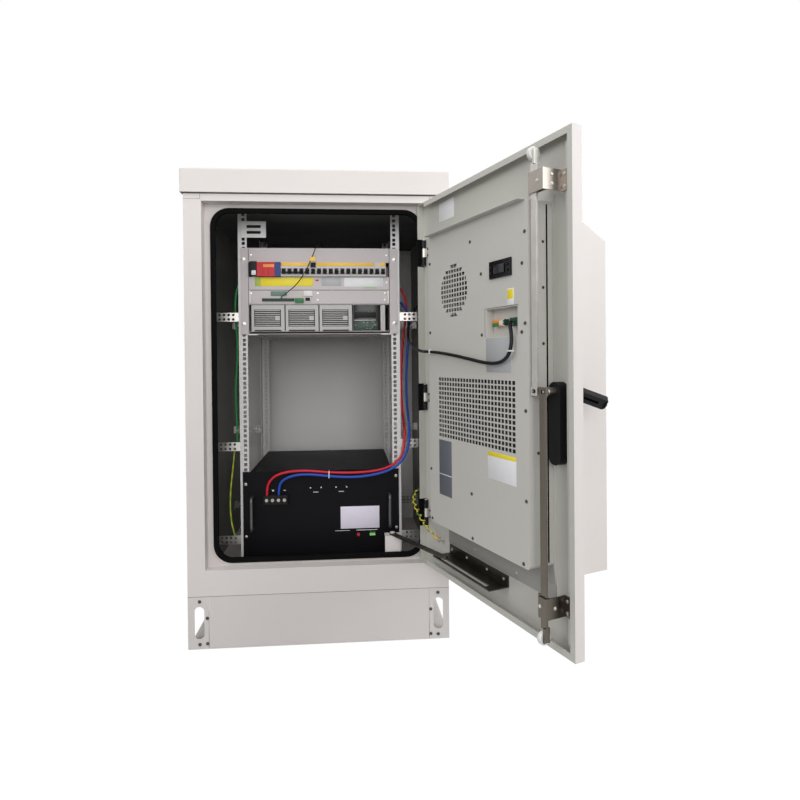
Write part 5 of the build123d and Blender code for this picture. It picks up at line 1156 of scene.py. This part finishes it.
@dataclass
class AirConditioner:
    """The air conditioner that goes through the door."""

    axes: DoorAxes
    face: float = 0.058
    sheet: float = 0.0015
    bar: float = 0.0030
    pitch: float = 0.0129
    round_pitch: float = 0.0124
    slack: float = 0.0001
    round_middle: Spot = (0.260, 0.990)
    round_radius: float = 0.062
    grille_left: float = 0.183
    grille_right: float = 0.505
    grille_bottom: float = 0.620
    grille_top: float = 0.773
    panel_screws: ScrewSet = ScrewSet("ac_panel_screws", Finishes.TRACK, (
        *column(0.1400, 0.5281, 0.8904, 1.0733), *column(0.5400, 0.5276, 0.7127, 0.8921, 1.0790),
        (0.3367, 1.0954), (0.3816, 1.0139), (0.5309, 1.0157), (0.5292, 0.8743), (0.3837, 0.8744),
        (0.3360, 0.5004), (0.1436, 0.3964), (0.3384, 0.3957), (0.5295, 0.3963),
    ))
    sill_face: float = -0.0045
    sill_screws: ScrewSet = ScrewSet("ac_sill_screws", Finishes.ZINC, ((0.253, 0.336), (0.422, 0.332)))
    cover_face: float = 0.165
    cover_screws: ScrewSet = ScrewSet("ac_cover_screws", Finishes.ZINC, (
        *column(-0.102, 0.366, 0.700, 1.040), *column(-0.520, 0.366, 0.700, 1.040),
    ))
    side_screws: ScrewSet = ScrewSet("ac_side_screws", Finishes.DARK_SCREW, (
        *column(-0.020, 1.059, 0.965, 0.850), (-0.035, 0.626),
    ), radius=0.0024)
    labels: tuple[Patch, ...] = (
        Patch("ac_sign_white", Finishes.LABEL_WHITE, (0.479, 0.9335), (0.503, 0.9685)),
        Patch("ac_sign_yellow", Finishes.LABEL_YELLOW, (0.481, 0.9465), (0.501, 0.9665), 0.0006),
        Patch("ac_rating_plate", Finishes.LABEL_GREY, (0.401, 0.790), (0.492, 0.866), 0.0008),
        Patch("ac_notice_white", Finishes.LABEL_WHITE, (0.403, 0.551), (0.507, 0.612)),
        Patch("ac_notice_yellow", Finishes.LABEL_YELLOW, (0.403, 0.603), (0.507, 0.612), 0.0006),
        Patch("ac_diagram", Finishes.LABEL_BLUE, (0.183, 0.470), (0.245, 0.612)),
        Patch("ac_diagram_line", Finishes.LABEL_WHITE, (0.183, 0.5225), (0.245, 0.5245), 0.0006),
        Patch("pocket_seam_top", Finishes.BLACK, (0.3965, 0.9316), (0.517, 0.9327), 0.0003),
        Patch("pocket_seam_left", Finishes.LABEL_BLUE, (0.3955, 0.868), (0.3965, 0.9327), 0.0003),
    )
    display: Patch = Patch("display_screen", Finishes.SCREEN, (0.436, 1.0055), (0.474, 1.0245), 0.0003)
    display_face: float = 0.062
    display_keys: tuple[Spot, ...] = ((0.4262, 1.0205), (0.4262, 1.0085), (0.4845, 1.0205), (0.4845, 1.0085))
    key_radius: float = 0.0026
    key_proud: float = 0.0008
    body: Box = (0.132, 0.388, 0.550, 1.146)
    corner: float = 0.010
    seal_level: Spot = (0.0085, 0.0120)
    seal_proud: float = 0.0007
    seal_sunk: float = 0.0005
    lip_thick: float = 0.0022
    lip_reach: float = 0.018
    sill_top: float = 0.378
    strip: Patch = Patch("terminal_green_strip", Finishes.CONNECTOR, (0.4155, 0.8905), (0.4375, 0.8985),
                         0.001)
    strip_face: float = 0.050
    orange_end: float = 0.438
    plug_end: float = 0.453

    def _bar(self, bars: Forge, middle: float, low: float, high: float) -> None:
        """Adds one upright bar inside the panel's thickness.

        Args:
            bars: The bars' piece.
            middle: Where the bar is along the door.
            low: Its lower end.
            high: Its upper end.
        """
        bars.block((middle - self.bar / 2, low, self.face - self.sheet + self.slack),
                   (middle + self.bar / 2, high, self.face - self.slack), 0.0)

    def _bars(self) -> None:
        """Crosses the slots of the long grille and the round one with upright bars."""
        bars = Forge("grille_bars", Finishes.PANEL, self.axes.inner)
        wide = self.grille_right - self.grille_left
        count = round(wide / self.pitch)
        for step in range(1, count):
            self._bar(bars, self.grille_left + wide * step / count, self.grille_bottom, self.grille_top)
        across, up = self.round_middle
        count = math.floor((self.round_radius - self.bar) / self.round_pitch)
        for step in range(-count, count + 1):
            shift = step * self.round_pitch
            reach = math.sqrt(self.round_radius ** 2 - (abs(shift) + self.bar / 2) ** 2)
            self._bar(bars, across + shift, up - reach, up + reach)
        bars.done()

    def _seal(self) -> None:
        """Lays a black seal round the housing, where it goes through the door."""
        left, bottom, right, top = self.body
        back, front = self.seal_level
        out, sunk, turn = self.seal_proud, self.seal_sunk, self.corner
        seal = Forge("ac_seal", Finishes.SEAL, self.axes.inner)
        for x0, z0, x1, z1 in (
            (right - sunk, bottom + turn, right + out, top - turn),
            (left - out, bottom + turn, left + sunk, top - turn),
            (left + turn, top - sunk, right - turn, top + out),
            (left + turn, bottom - out, right - turn, bottom + sunk),
        ):
            seal.block((x0, z0, back), (x1, z1, front), 0.0)
        seal.done()

    def _lip(self) -> None:
        """Sets the drip lip along the top edge of the inner panel."""
        left, _, right, top = self.body
        lip = Forge("ac_drip_lip", Finishes.PANEL, self.axes.inner)
        lip.block((left + self.corner, top - self.lip_thick, self.face - self.sheet),
                  (right - self.corner, top, self.face + self.lip_reach)).done()

    def _terminals(self) -> None:
        """Colours the pocket's connectors: an orange strip, a white plug and a dark board."""
        paint(Finishes.BOARD, "ac_terminals")
        for finish, end in ((Finishes.ROLLER, self.plug_end), (Finishes.LABEL_ORANGE, self.orange_end)):
            paint_part("ac_terminals", finish, lambda spot, end=end: (self.axes.from_frame @ spot).x < end)
        self.strip.lay(self.strip_face, self.axes.inner)

    def _display(self) -> None:
        """Gives the display its screen and keys."""
        paint(Finishes.GLOSS_BLACK, "ac_display")
        self.display.lay(self.display_face, self.axes.inner)
        keys = Forge("display_keys", Finishes.BLACK, self.axes.inner)
        for spot in self.display_keys:
            keys.drum((*spot, self.display_face), self.key_radius, self.key_proud)
        keys.done()

    def dress(self) -> None:
        """Gives the air conditioner its finishes and details."""
        paint(Finishes.SHELL, "ac_cover")
        paint(Finishes.PANEL, "ac_housing")
        # The sill below the housing takes the darker grey as painted shade.
        paint_part("ac_housing", Finishes.SILL_PAINTED_SHADE, lambda spot: spot.z < self.sill_top)
        paint(Finishes.BLACK_METAL, "ac_compressor")
        paint(Finishes.COIL, "ac_coils")
        paint(Finishes.BLACK, "ac_inner_fan", "ac_outer_fan")
        self._terminals()
        self._bars()
        self._seal()
        self._lip()
        self._display()
        stick(self.labels, self.face, self.axes.inner)
        self.panel_screws.drive(self.face, self.axes.inner)
        self.sill_screws.drive(self.sill_face, self.axes.inner)
        self.cover_screws.drive(self.cover_face, self.axes.outer)
        _, _, right, _ = self.body
        self.side_screws.drive(right, self.axes.edge)


@dataclass
class DoorPanel:
    """The door pan with its hinges, lock gear and stay."""

    axes: DoorAxes
    skin: float = -0.006
    outer: float = -0.0075
    edges: Box = (-0.0095, 0.2285, 0.6310, 1.2705)
    middle: float = 0.75
    guide_face: float = 0.0592
    guide_screws: ScrewSet = ScrewSet("guide_screws", Finishes.ZINC, column(0.5811, 1.1700, 0.3296))
    guide_edge: float = 0.5986
    leg_screws: ScrewSet = ScrewSet("guide_leg_screws", Finishes.ZINC, column(-0.036, 1.1800, 1.1620, 0.3270))
    foot_face: float = 0.0110
    foot_screws: ScrewSet = ScrewSet("guide_foot_screws", Finishes.ZINC,
                                     column(0.6050, 1.1830, 1.1590, 0.3380, 0.3150))
    plate_face: float = -0.003
    track_screws: ScrewSet = ScrewSet("track_screws", Finishes.ZINC,
                                      level_row(0.302, 0.140, 0.215, 0.306, 0.375))
    leaf_screws: ScrewSet = ScrewSet("leaf_screws", Finishes.DARK_SCREW,
                                     column(0.019, 0.379, 0.361, 0.718, 0.700, 1.140, 1.122))
    lug_spot: Point = (0.0915, 0.3165, 0.0090)
    lug_radius: float = 0.0075
    lug_thick: float = 0.0022
    sleeve: tuple[Point, Point] = ((0.0800, 0.3190, 0.0094), (0.0905, 0.3260, 0.0146))
    sleeve_round: float = 0.0022
    labels: tuple[Patch, ...] = (
        Patch("door_white_label", Finishes.LABEL_WHITE, (0.080, 1.203), (0.160, 1.255)),
        # A plate on the skin under the housing, dark grey as painted shade; the sill screws sit on it.
        Patch("ac_sill_plate_painted_shade", Finishes.SILL_PAINTED_SHADE, (0.122, 0.316), (0.555, 0.350), 0.0015),
    )

    def _is_outside(self, spot: Vector) -> bool:
        """Finds the faces of the pan's outer skin and its edges.

        Args:
            spot: The middle of a face.

        Returns:
            Whether the face is one of them.
        """
        along, up, inward = self.axes.from_frame @ spot
        left, bottom, right, top = self.edges
        return inward < self.outer or not (left < along < right and bottom < up < top)

    def _lug(self) -> None:
        """Ends the coiled earth lead in a ring terminal with an orange sleeve."""
        lug = Forge("earth_lug", Finishes.ZINC, self.axes.inner)
        lug.drum(self.lug_spot, self.lug_radius, self.lug_thick).done()
        sleeve = Forge("earth_sleeve", Finishes.LABEL_ORANGE, self.axes.inner)
        sleeve.block(*self.sleeve, self.sleeve_round).done()

    def dress(self) -> None:
        """Gives the door and its fittings their finishes and details."""
        # The door's inner side takes the darker copy of the shell paint as painted shade; its outer skin and
        # edges take the shell paint.
        paint(Finishes.DOOR, "door_pan")
        paint_part("door_pan", Finishes.SHELL, self._is_outside)
        paint(Finishes.SHELL, "stay_bracket")
        paint(Finishes.BLACK_METAL, "hinge_frame_leaves", "handle_lever")
        paint(Finishes.ZINC, "hinge_pins", "hinge_door_leaves", "upper_rod")
        paint(Finishes.LOCK_STEEL, "handle_spindle")
        paint(Finishes.ROD, "rod_guides", "lower_rod")
        paint_part("rod_guides", Finishes.LOCK_STEEL, lambda spot: spot.z > self.middle)
        paint(Finishes.TRACK, "stay_track", "stay_arm")
        paint(Finishes.BLACK, "handle_housing")
        paint(Finishes.ROLLER, "upper_roller", "lower_roller")
        stick(self.labels, self.skin, self.axes.inner)
        self.guide_screws.drive(self.guide_face, self.axes.inner)
        self.leg_screws.drive(self.guide_edge, self.axes.edge)
        self.foot_screws.drive(self.foot_face, self.axes.inner)
        self.track_screws.drive(self.plate_face, self.axes.inner)
        self.leaf_screws.drive(self.plate_face, self.axes.inner)
        self._lug()


@dataclass
class CableSet:
    """The wires and cables, on the routes of their CAD tubes."""

    axes: DoorAxes
    green_wire: float = 0.006
    yellow_wire: float = 0.005
    sensor: float = 0.003
    power: float = 0.008
    ac_lead: float = 0.008
    curl: float = 0.013
    curl_wire: float = 0.004
    curl_pitch: float = 0.021
    curl_steps: int = 16
    tube_sides: int = 12
    smooth: int = 12
    spline_order: int = 3
    round_steps: int = 4
    ease_turns: int = 2
    ac_bend_from: int = 5
    curl_bend_from: int = 3
    curl_bend_to: int = 8
    green: tuple[Point, ...] = (
        (-0.218, -0.188, 1.082), (-0.241, -0.188, 1.082), (-0.262, -0.189, 1.056), (-0.269, -0.192, 1.002),
        (-0.267, -0.190, 0.944), (-0.263, -0.188, 0.886), (-0.264, -0.187, 0.828), (-0.268, -0.189, 0.770),
        (-0.270, -0.191, 0.712), (-0.268, -0.190, 0.656), (-0.266, -0.192, 0.606), (-0.265, -0.198, 0.574),
        (-0.264, -0.213, 0.558), (-0.264, -0.234, 0.558),
    )
    yellow: tuple[Point, ...] = (
        (-0.271, -0.234, 0.552), (-0.271, -0.217, 0.552), (-0.272, -0.211, 0.532), (-0.277, -0.211, 0.484),
        (-0.284, -0.212, 0.426), (-0.287, -0.212, 0.370), (-0.284, -0.213, 0.320), (-0.276, -0.215, 0.284),
        (-0.267, -0.216, 0.266), (-0.251, -0.216, 0.266),
    )
    red: tuple[Point, ...] = (
        (0.218, -0.150, 1.062), (0.246, -0.150, 1.062), (0.270, -0.152, 1.044), (0.278, -0.156, 1.008),
        (0.276, -0.158, 0.962), (0.270, -0.160, 0.910), (0.264, -0.161, 0.856), (0.260, -0.162, 0.800),
        (0.258, -0.164, 0.744), (0.258, -0.169, 0.694), (0.260, -0.182, 0.654), (0.262, -0.204, 0.622),
        (0.262, -0.230, 0.596), (0.260, -0.250, 0.568), (0.256, -0.259, 0.540), (0.246, -0.264, 0.515),
        (0.224, -0.265, 0.494), (0.192, -0.263, 0.480), (0.152, -0.261, 0.473), (0.104, -0.259, 0.4705),
        (0.054, -0.258, 0.471), (0.008, -0.258, 0.4745), (-0.034, -0.258, 0.479), (-0.072, -0.258, 0.480),
        (-0.107, -0.2575, 0.477), (-0.137, -0.2555, 0.468), (-0.158, -0.2525, 0.451), (-0.167, -0.251, 0.428),
        (-0.167, -0.251, 0.406),
    )
    blue: tuple[Point, ...] = (
        (0.218, -0.172, 1.012), (0.246, -0.172, 1.012), (0.271, -0.173, 0.995), (0.282, -0.175, 0.960),
        (0.283, -0.176, 0.912), (0.280, -0.176, 0.858), (0.276, -0.176, 0.802), (0.274, -0.177, 0.746),
        (0.274, -0.183, 0.694), (0.276, -0.197, 0.650), (0.277, -0.219, 0.616), (0.276, -0.243, 0.588),
        (0.272, -0.261, 0.559), (0.264, -0.271, 0.531), (0.247, -0.276, 0.505), (0.222, -0.277, 0.485),
        (0.190, -0.275, 0.472), (0.148, -0.272, 0.463), (0.102, -0.269, 0.4585), (0.054, -0.267, 0.460),
        (0.008, -0.266, 0.465), (-0.036, -0.2655, 0.470), (-0.072, -0.263, 0.469), (-0.102, -0.258, 0.461),
        (-0.122, -0.2535, 0.448), (-0.131, -0.251, 0.428), (-0.131, -0.251, 0.406),
    )
    sensor_line: tuple[Point, ...] = (
        (0.007, -0.196, 1.168), (0.007, -0.196, 1.181), (0.004, -0.210, 1.193), (0.000, -0.240, 1.194),
        (-0.007, -0.266, 1.174), (-0.019, -0.276, 1.136), (-0.040, -0.278, 1.090), (-0.068, -0.276, 1.050),
        (-0.098, -0.271, 1.026), (-0.118, -0.260, 1.014), (-0.118, -0.243, 1.014),
    )
    ac_cabinet: tuple[Point, ...] = (
        (0.353, -0.190, 1.004), (0.327, -0.190, 1.004), (0.301, -0.198, 0.984), (0.285, -0.212, 0.948),
        (0.276, -0.230, 0.912), (0.272, -0.264, 0.886), (0.272, -0.304, 0.872), (0.276, -0.346, 0.860),
        (0.283, -0.390, 0.850), (0.291, -0.434, 0.843), (0.297, -0.475, 0.841),
    )
    ac_door: tuple[Point, ...] = (
        (0.132, 0.841, 0.070), (0.190, 0.838, 0.068), (0.262, 0.831, 0.068), (0.336, 0.821, 0.067),
        (0.404, 0.811, 0.067), (0.456, 0.809, 0.068), (0.494, 0.820, 0.070), (0.510, 0.846, 0.070),
        (0.504, 0.876, 0.066), (0.487, 0.893, 0.058), (0.475, 0.899, 0.046),
    )
    curly: tuple[Point, ...] = (
        (0.353, -0.300, 0.434), (0.327, -0.300, 0.434), (0.302, -0.307, 0.428), (0.283, -0.326, 0.416),
        (0.277, -0.352, 0.402), (0.280, -0.379, 0.386), (0.289, -0.404, 0.368), (0.301, -0.427, 0.350),
        (0.316, -0.445, 0.332), (0.331, -0.456, 0.317),
    )
    ties: tuple[tuple[str, Point, Point, Body], ...] = (
        ("battery_cable_tie", (0.024, -0.262, 0.468), (0.0014, 0.0090, 0.0108), Body.CABINET),
        ("green_wire_tie", (-0.2655, -0.192, 0.600), (0.0042, 0.0042, 0.0014), Body.CABINET),
        ("ac_cable_tie_left", (0.160, 0.8398, 0.069), (0.0014, 0.0054, 0.0054), Body.DOOR),
        ("ac_cable_tie_right", (0.5058, 0.836, 0.070), (0.0056, 0.0014, 0.0056), Body.DOOR),
    )
    tie_round: float = 0.4
    tag: tuple[Point, Point] = ((-0.0265, -0.2790, 1.1215), (-0.0100, -0.2735, 1.1350))
    tag_round: float = 0.0008

    def _line(self, name: str, route: Sequence[Point]) -> bpy.types.Object:
        """Makes a smooth curve with a route's points as its control points.

        Args:
            name: The curve's name.
            route: The control points.

        Returns:
            The curve object, with no thickness yet.
        """
        data = bpy.data.curves.new(name, "CURVE")
        data.dimensions = "3D"
        spline = data.splines.new("NURBS")
        spline.points.add(len(route) - 1)
        for point, spot in zip(spline.points, route):
            point.co = (*spot, 1.0)
        spline.order_u = self.spline_order
        spline.use_endpoint_u = True
        data.resolution_u = self.smooth
        return put(name, data)

    def _sampled(self, route: Sequence[Point]) -> list[Vector]:
        """Reads points along a route's smooth curve.

        Args:
            route: The control points.

        Returns:
            The points, in order.
        """
        line = self._line("route_line", route)
        bpy.context.view_layer.update()
        mesh = bpy.data.meshes.new_from_object(line.evaluated_get(bpy.context.evaluated_depsgraph_get()))
        points = [vert.co.copy() for vert in mesh.vertices]
        bpy.data.meshes.remove(mesh)
        bpy.data.objects.remove(line)
        return points

    @staticmethod
    def _length(points: Sequence[Vector]) -> float:
        """Adds up the runs between points."""
        return sum((b - a).length for a, b in zip(points, points[1:]))

    def _wire(self, node: str, route: Sequence[Point], diameter: float, finish: Finish) -> None:
        """Makes a cable that stays on the cabinet.

        Args:
            node: The CAD node that it stands for.
            route: Its control points.
            diameter: Its diameter.
            finish: Its finish.
        """
        length = self._length(self._sampled(route))
        made = self._line(f"{node}_line", route)
        made.data.bevel_depth = diameter / 2
        made.data.bevel_resolution = self.round_steps
        made.data.use_fill_caps = True
        made.data.materials.append(finish.material())
        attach(made, Body.CABINET.value)
        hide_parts(node)
        LOG.info("%s is %.3f m long", node, length)

    def _tube(self, name: str, points: Sequence[Vector], diameter: float, finish: Finish) -> bpy.types.Object:
        """Makes a mesh tube along points, with rings that don't twist.

        Args:
            name: The tube's name.
            points: Its middle line.
            diameter: Its diameter.
            finish: Its finish.

        Returns:
            The tube.
        """
        mesh = bmesh.new()
        side = (points[1] - points[0]).orthogonal().normalized()
        rings = []
        for index, point in enumerate(points):
            ahead = (points[min(index + 1, len(points) - 1)] - points[max(index - 1, 0)]).normalized()
            side = (side - ahead * side.dot(ahead)).normalized()
            over = ahead.cross(side)
            turns = [TURN * step / self.tube_sides for step in range(self.tube_sides)]
            rings.append([mesh.verts.new(point + (side * math.cos(a) + over * math.sin(a)) * diameter / 2)
                          for a in turns])
        for first, second in zip(rings, rings[1:]):
            for a, b, c, d in zip(first, first[1:] + first[:1], second[1:] + second[:1], second):
                mesh.faces.new((a, b, c, d))
        mesh.faces.new(list(reversed(rings[0])))
        mesh.faces.new(rings[-1])
        data = as_mesh(name, mesh, finish.material())
        data.shade_smooth()
        return put(name, data)

    def _crossing(self, node: str, line: Sequence[Vector], diameter: float, finish: Finish) -> None:
        """Makes a cable that crosses from the cabinet to the door, as one still tube in the frame.

        Args:
            node: The CAD node that it stands for.
            line: The line that the wire follows.
            diameter: Its diameter.
            finish: Its finish.
        """
        made = self._tube(f"{node}_tube", line, diameter, finish)
        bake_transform(made)
        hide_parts(node)

    def _coiled(self, points: Sequence[Vector]) -> list[Vector]:
        """Winds a helix round a middle line.

        Args:
            points: The middle line.

        Returns:
            The points of the wound wire.
        """
        total = self._length(points)
        steps = self.curl_steps
        count = int(total / self.curl_pitch * steps)
        radius = (self.curl - self.curl_wire) / 2
        marks = [0.0]
        for a, b in zip(points, points[1:]):
            marks.append(marks[-1] + (b - a).length)
        wound = []
        side = (points[1] - points[0]).orthogonal().normalized()
        index = 0
        for step in range(count + 1):
            reach = total * step / count
            while index < len(points) - 2 and marks[index + 1] < reach:
                index += 1
            run = points[index + 1] - points[index]
            spot = points[index] + run * ((reach - marks[index]) / (marks[index + 1] - marks[index]))
            ahead = run.normalized()
            side = (side - ahead * side.dot(ahead)).normalized()
            angle = TURN * step / steps
            ease = min(1.0, *(far / (self.ease_turns * steps) for far in (step, count - step)))
            around = side * math.cos(angle) + ahead.cross(side) * math.sin(angle)
            wound.append(spot + around * radius * ease)
        return wound

    def _ties(self) -> None:
        """Binds the cables with white ties and hangs a tag on the sensor wire."""
        for name, spot, half, body in self.ties:
            grip = Forge(name, Finishes.ROLLER, self.axes.inner if body is Body.DOOR else INSIDE)
            low = tuple(value - reach for value, reach in zip(spot, half))
            high = tuple(value + reach for value, reach in zip(spot, half))
            grip.block(low, high, min(half) * self.tie_round).done()
        Forge("wire_tag", Finishes.LABEL_AMBER, INSIDE).block(*self.tag, self.tag_round).done()

    def build(self) -> None:
        """Makes every cable."""
        for node, route, diameter, finish in (
            ("green_earth_wire", self.green, self.green_wire, Finishes.GREEN_WIRE),
            ("yellow_earth_wire", self.yellow, self.yellow_wire, Finishes.YELLOW_WIRE),
            ("red_cable", self.red, self.power, Finishes.RED_WIRE),
            ("blue_cable", self.blue, self.power, Finishes.BLUE_WIRE),
            ("sensor_wire", self.sensor_line, self.sensor, Finishes.BLACK_WIRE),
        ):
            self._wire(node, route, diameter, finish)
        on_door = tuple(self.axes.point(*spot) for spot in self.ac_door)
        lead = self._sampled(self.ac_cabinet + on_door)
        self._crossing("ac_cable", lead, self.ac_lead, Finishes.BLACK_WIRE)
        coil = self._coiled(self._sampled(self.curly))
        self._crossing("door_earth_lead", coil, self.curl_wire, Finishes.CURLY)
        self._ties()


@dataclass
class Studio:
    """The camera, the lights and the floor.

    Attributes:
        position: Where the camera stands.
        yaw: How far it turns from straight ahead to the right, in degrees.
        pitch: How far it looks up, in degrees.
        roll: How far it leans, in degrees.
        focal: Its focal length in pixels of the picture.
        principal: The pixel that it looks straight at.
        picture: The picture's side, in pixels.
        sensor: The width of its sensor, in millimetres.
        floor_side: The floor's side.
        floor_colour: The floor's colour, for the light that it throws back.
        floor_cloud: The noise that clouds the floor.
        floor_shade: The floor's darkest share of its colour.
        floor_rough: The floor's roughness.
        floor_glow: How bright the floor is to the camera.
        floor_white: How much of that glow the camera sees.
        ambient: How bright the world is to the surfaces.
        lamps: Each lamp's name, place, aim, side and power.
    """

    position: Point = (0.0889, -2.0374, 0.8205)
    yaw: float = 4.34
    pitch: float = -0.46
    roll: float = -0.53
    focal: float = 573.2
    principal: Spot = (392.6, 364.0)
    picture: float = 800.0
    sensor: float = 36.0
    floor_side: float = 40.0
    floor_colour: Colour = (0.32, 0.32, 0.32)
    floor_cloud: Grain = Grain(0.8, 2.0)
    floor_shade: float = 0.985
    floor_rough: float = 0.9
    floor_glow: float = 1.1
    floor_white: float = 0.9
    ambient: float = 0.30
    lamps: tuple[tuple[str, Point, Point, float, float], ...] = (
        ("front_light", (0.2, -5.0, 2.1), (0.0, 0.0, 0.75), 2.6, 78.0),
        ("right_light", (3.4, -2.2, 2.4), (0.3, -0.4, 0.8), 2.4, 72.0),
        ("left_light", (-3.2, -2.6, 2.4), (0.2, -0.4, 0.8), 2.4, 46.0),
        ("top_light", (0.0, -1.2, 4.0), (0.0, -0.3, 0.6), 3.0, 50.0),
        ("back_light", (0.6, 3.6, 2.4), (0.0, 0.0, 0.8), 2.4, 50.0),
    )

    def _camera(self) -> None:
        """Sets the camera where the photograph was taken."""
        yaw, pitch, roll = (math.radians(angle) for angle in (self.yaw, self.pitch, self.roll))
        ahead = Vector((math.sin(yaw) * math.cos(pitch), math.cos(yaw) * math.cos(pitch), math.sin(pitch)))
        level = Vector((math.cos(yaw), -math.sin(yaw), 0.0))
        above = level.cross(ahead)
        right = level * math.cos(roll) + above * math.sin(roll)
        up = above * math.cos(roll) - level * math.sin(roll)
        data = bpy.data.cameras.new("camera")
        data.sensor_width = self.sensor
        data.lens = self.focal / self.picture * self.sensor
        data.shift_x = HALF - self.principal[0] / self.picture
        data.shift_y = self.principal[1] / self.picture - HALF
        made = put("camera", data)
        turn = Matrix((right, up, -ahead)).transposed().to_4x4()
        made.matrix_world = Matrix.Translation(self.position) @ turn
        bpy.context.scene.camera = made

    def _lights(self) -> None:
        """Sets soft lamps round the cabinet."""
        for name, spot, aim, side, power in self.lamps:
            data = bpy.data.lights.new(name, "AREA")
            data.size = side
            data.energy = power
            turn = (Vector(aim) - Vector(spot)).to_track_quat("-Z", "Y").to_matrix().to_4x4()
            put(name, data).matrix_world = Matrix.Translation(spot) @ turn

    def _world(self) -> None:
        """Lights the scene softly, with a white background for the camera and for reflections."""
        graph = Graph(bpy.data.worlds.new("studio"))
        bpy.context.scene.world = graph.owner
        graph.surface(Color=WHITE, Strength=graph.seen_rays() * (1.0 - self.ambient) + self.ambient)

    def _floor(self) -> None:
        """Lays a plain pale floor."""
        graph = Graph(bpy.data.materials.new("floor_white"))
        pale = tuple(channel * self.floor_shade for channel in self.floor_colour)
        graph.surface(Base_Color=graph.noise(*self.floor_cloud).blend(pale, self.floor_colour),
                      Roughness=self.floor_rough)
        glow = graph.node("ShaderNodeEmission", {}, {"Color": WHITE, "Strength": self.floor_glow})
        inputs = {0: graph.seen_rays() * self.floor_white, 1: graph.shader.outputs[0], 2: glow.outputs[0]}
        shown = graph.node("ShaderNodeMixShader", {}, inputs)
        graph.feed(graph.tree.nodes["Material Output"].inputs["Surface"], shown.outputs[0])
        mesh = bmesh.new()
        bmesh.ops.create_grid(mesh, x_segments=1, y_segments=1, size=self.floor_side / 2)
        put("floor", as_mesh("floor", mesh, graph.owner))
        LOG.info("floor laid, %.0f m each way", self.floor_side)

    def build(self) -> None:
        """Builds the whole studio."""
        bpy.context.scene.view_settings.view_transform = "Standard"
        self._camera()
        self._lights()
        self._world()
        self._floor()


def main() -> None:
    """Builds the studio, then dresses the cabinet from the outside in."""
    logging.basicConfig(level=logging.INFO, format="%(name)s: %(message)s")
    axes = DoorAxes.from_joint("door_hinge")
    Studio().build()
    CableSet(axes).build()
    CabinetShell().dress()
    RackFrame().dress()
    PowerUnit().dress()
    BatteryUnit().dress()
    DoorPanel(axes).dress()
    AirConditioner(axes).dress()


if __name__ == "__main__":
    main()
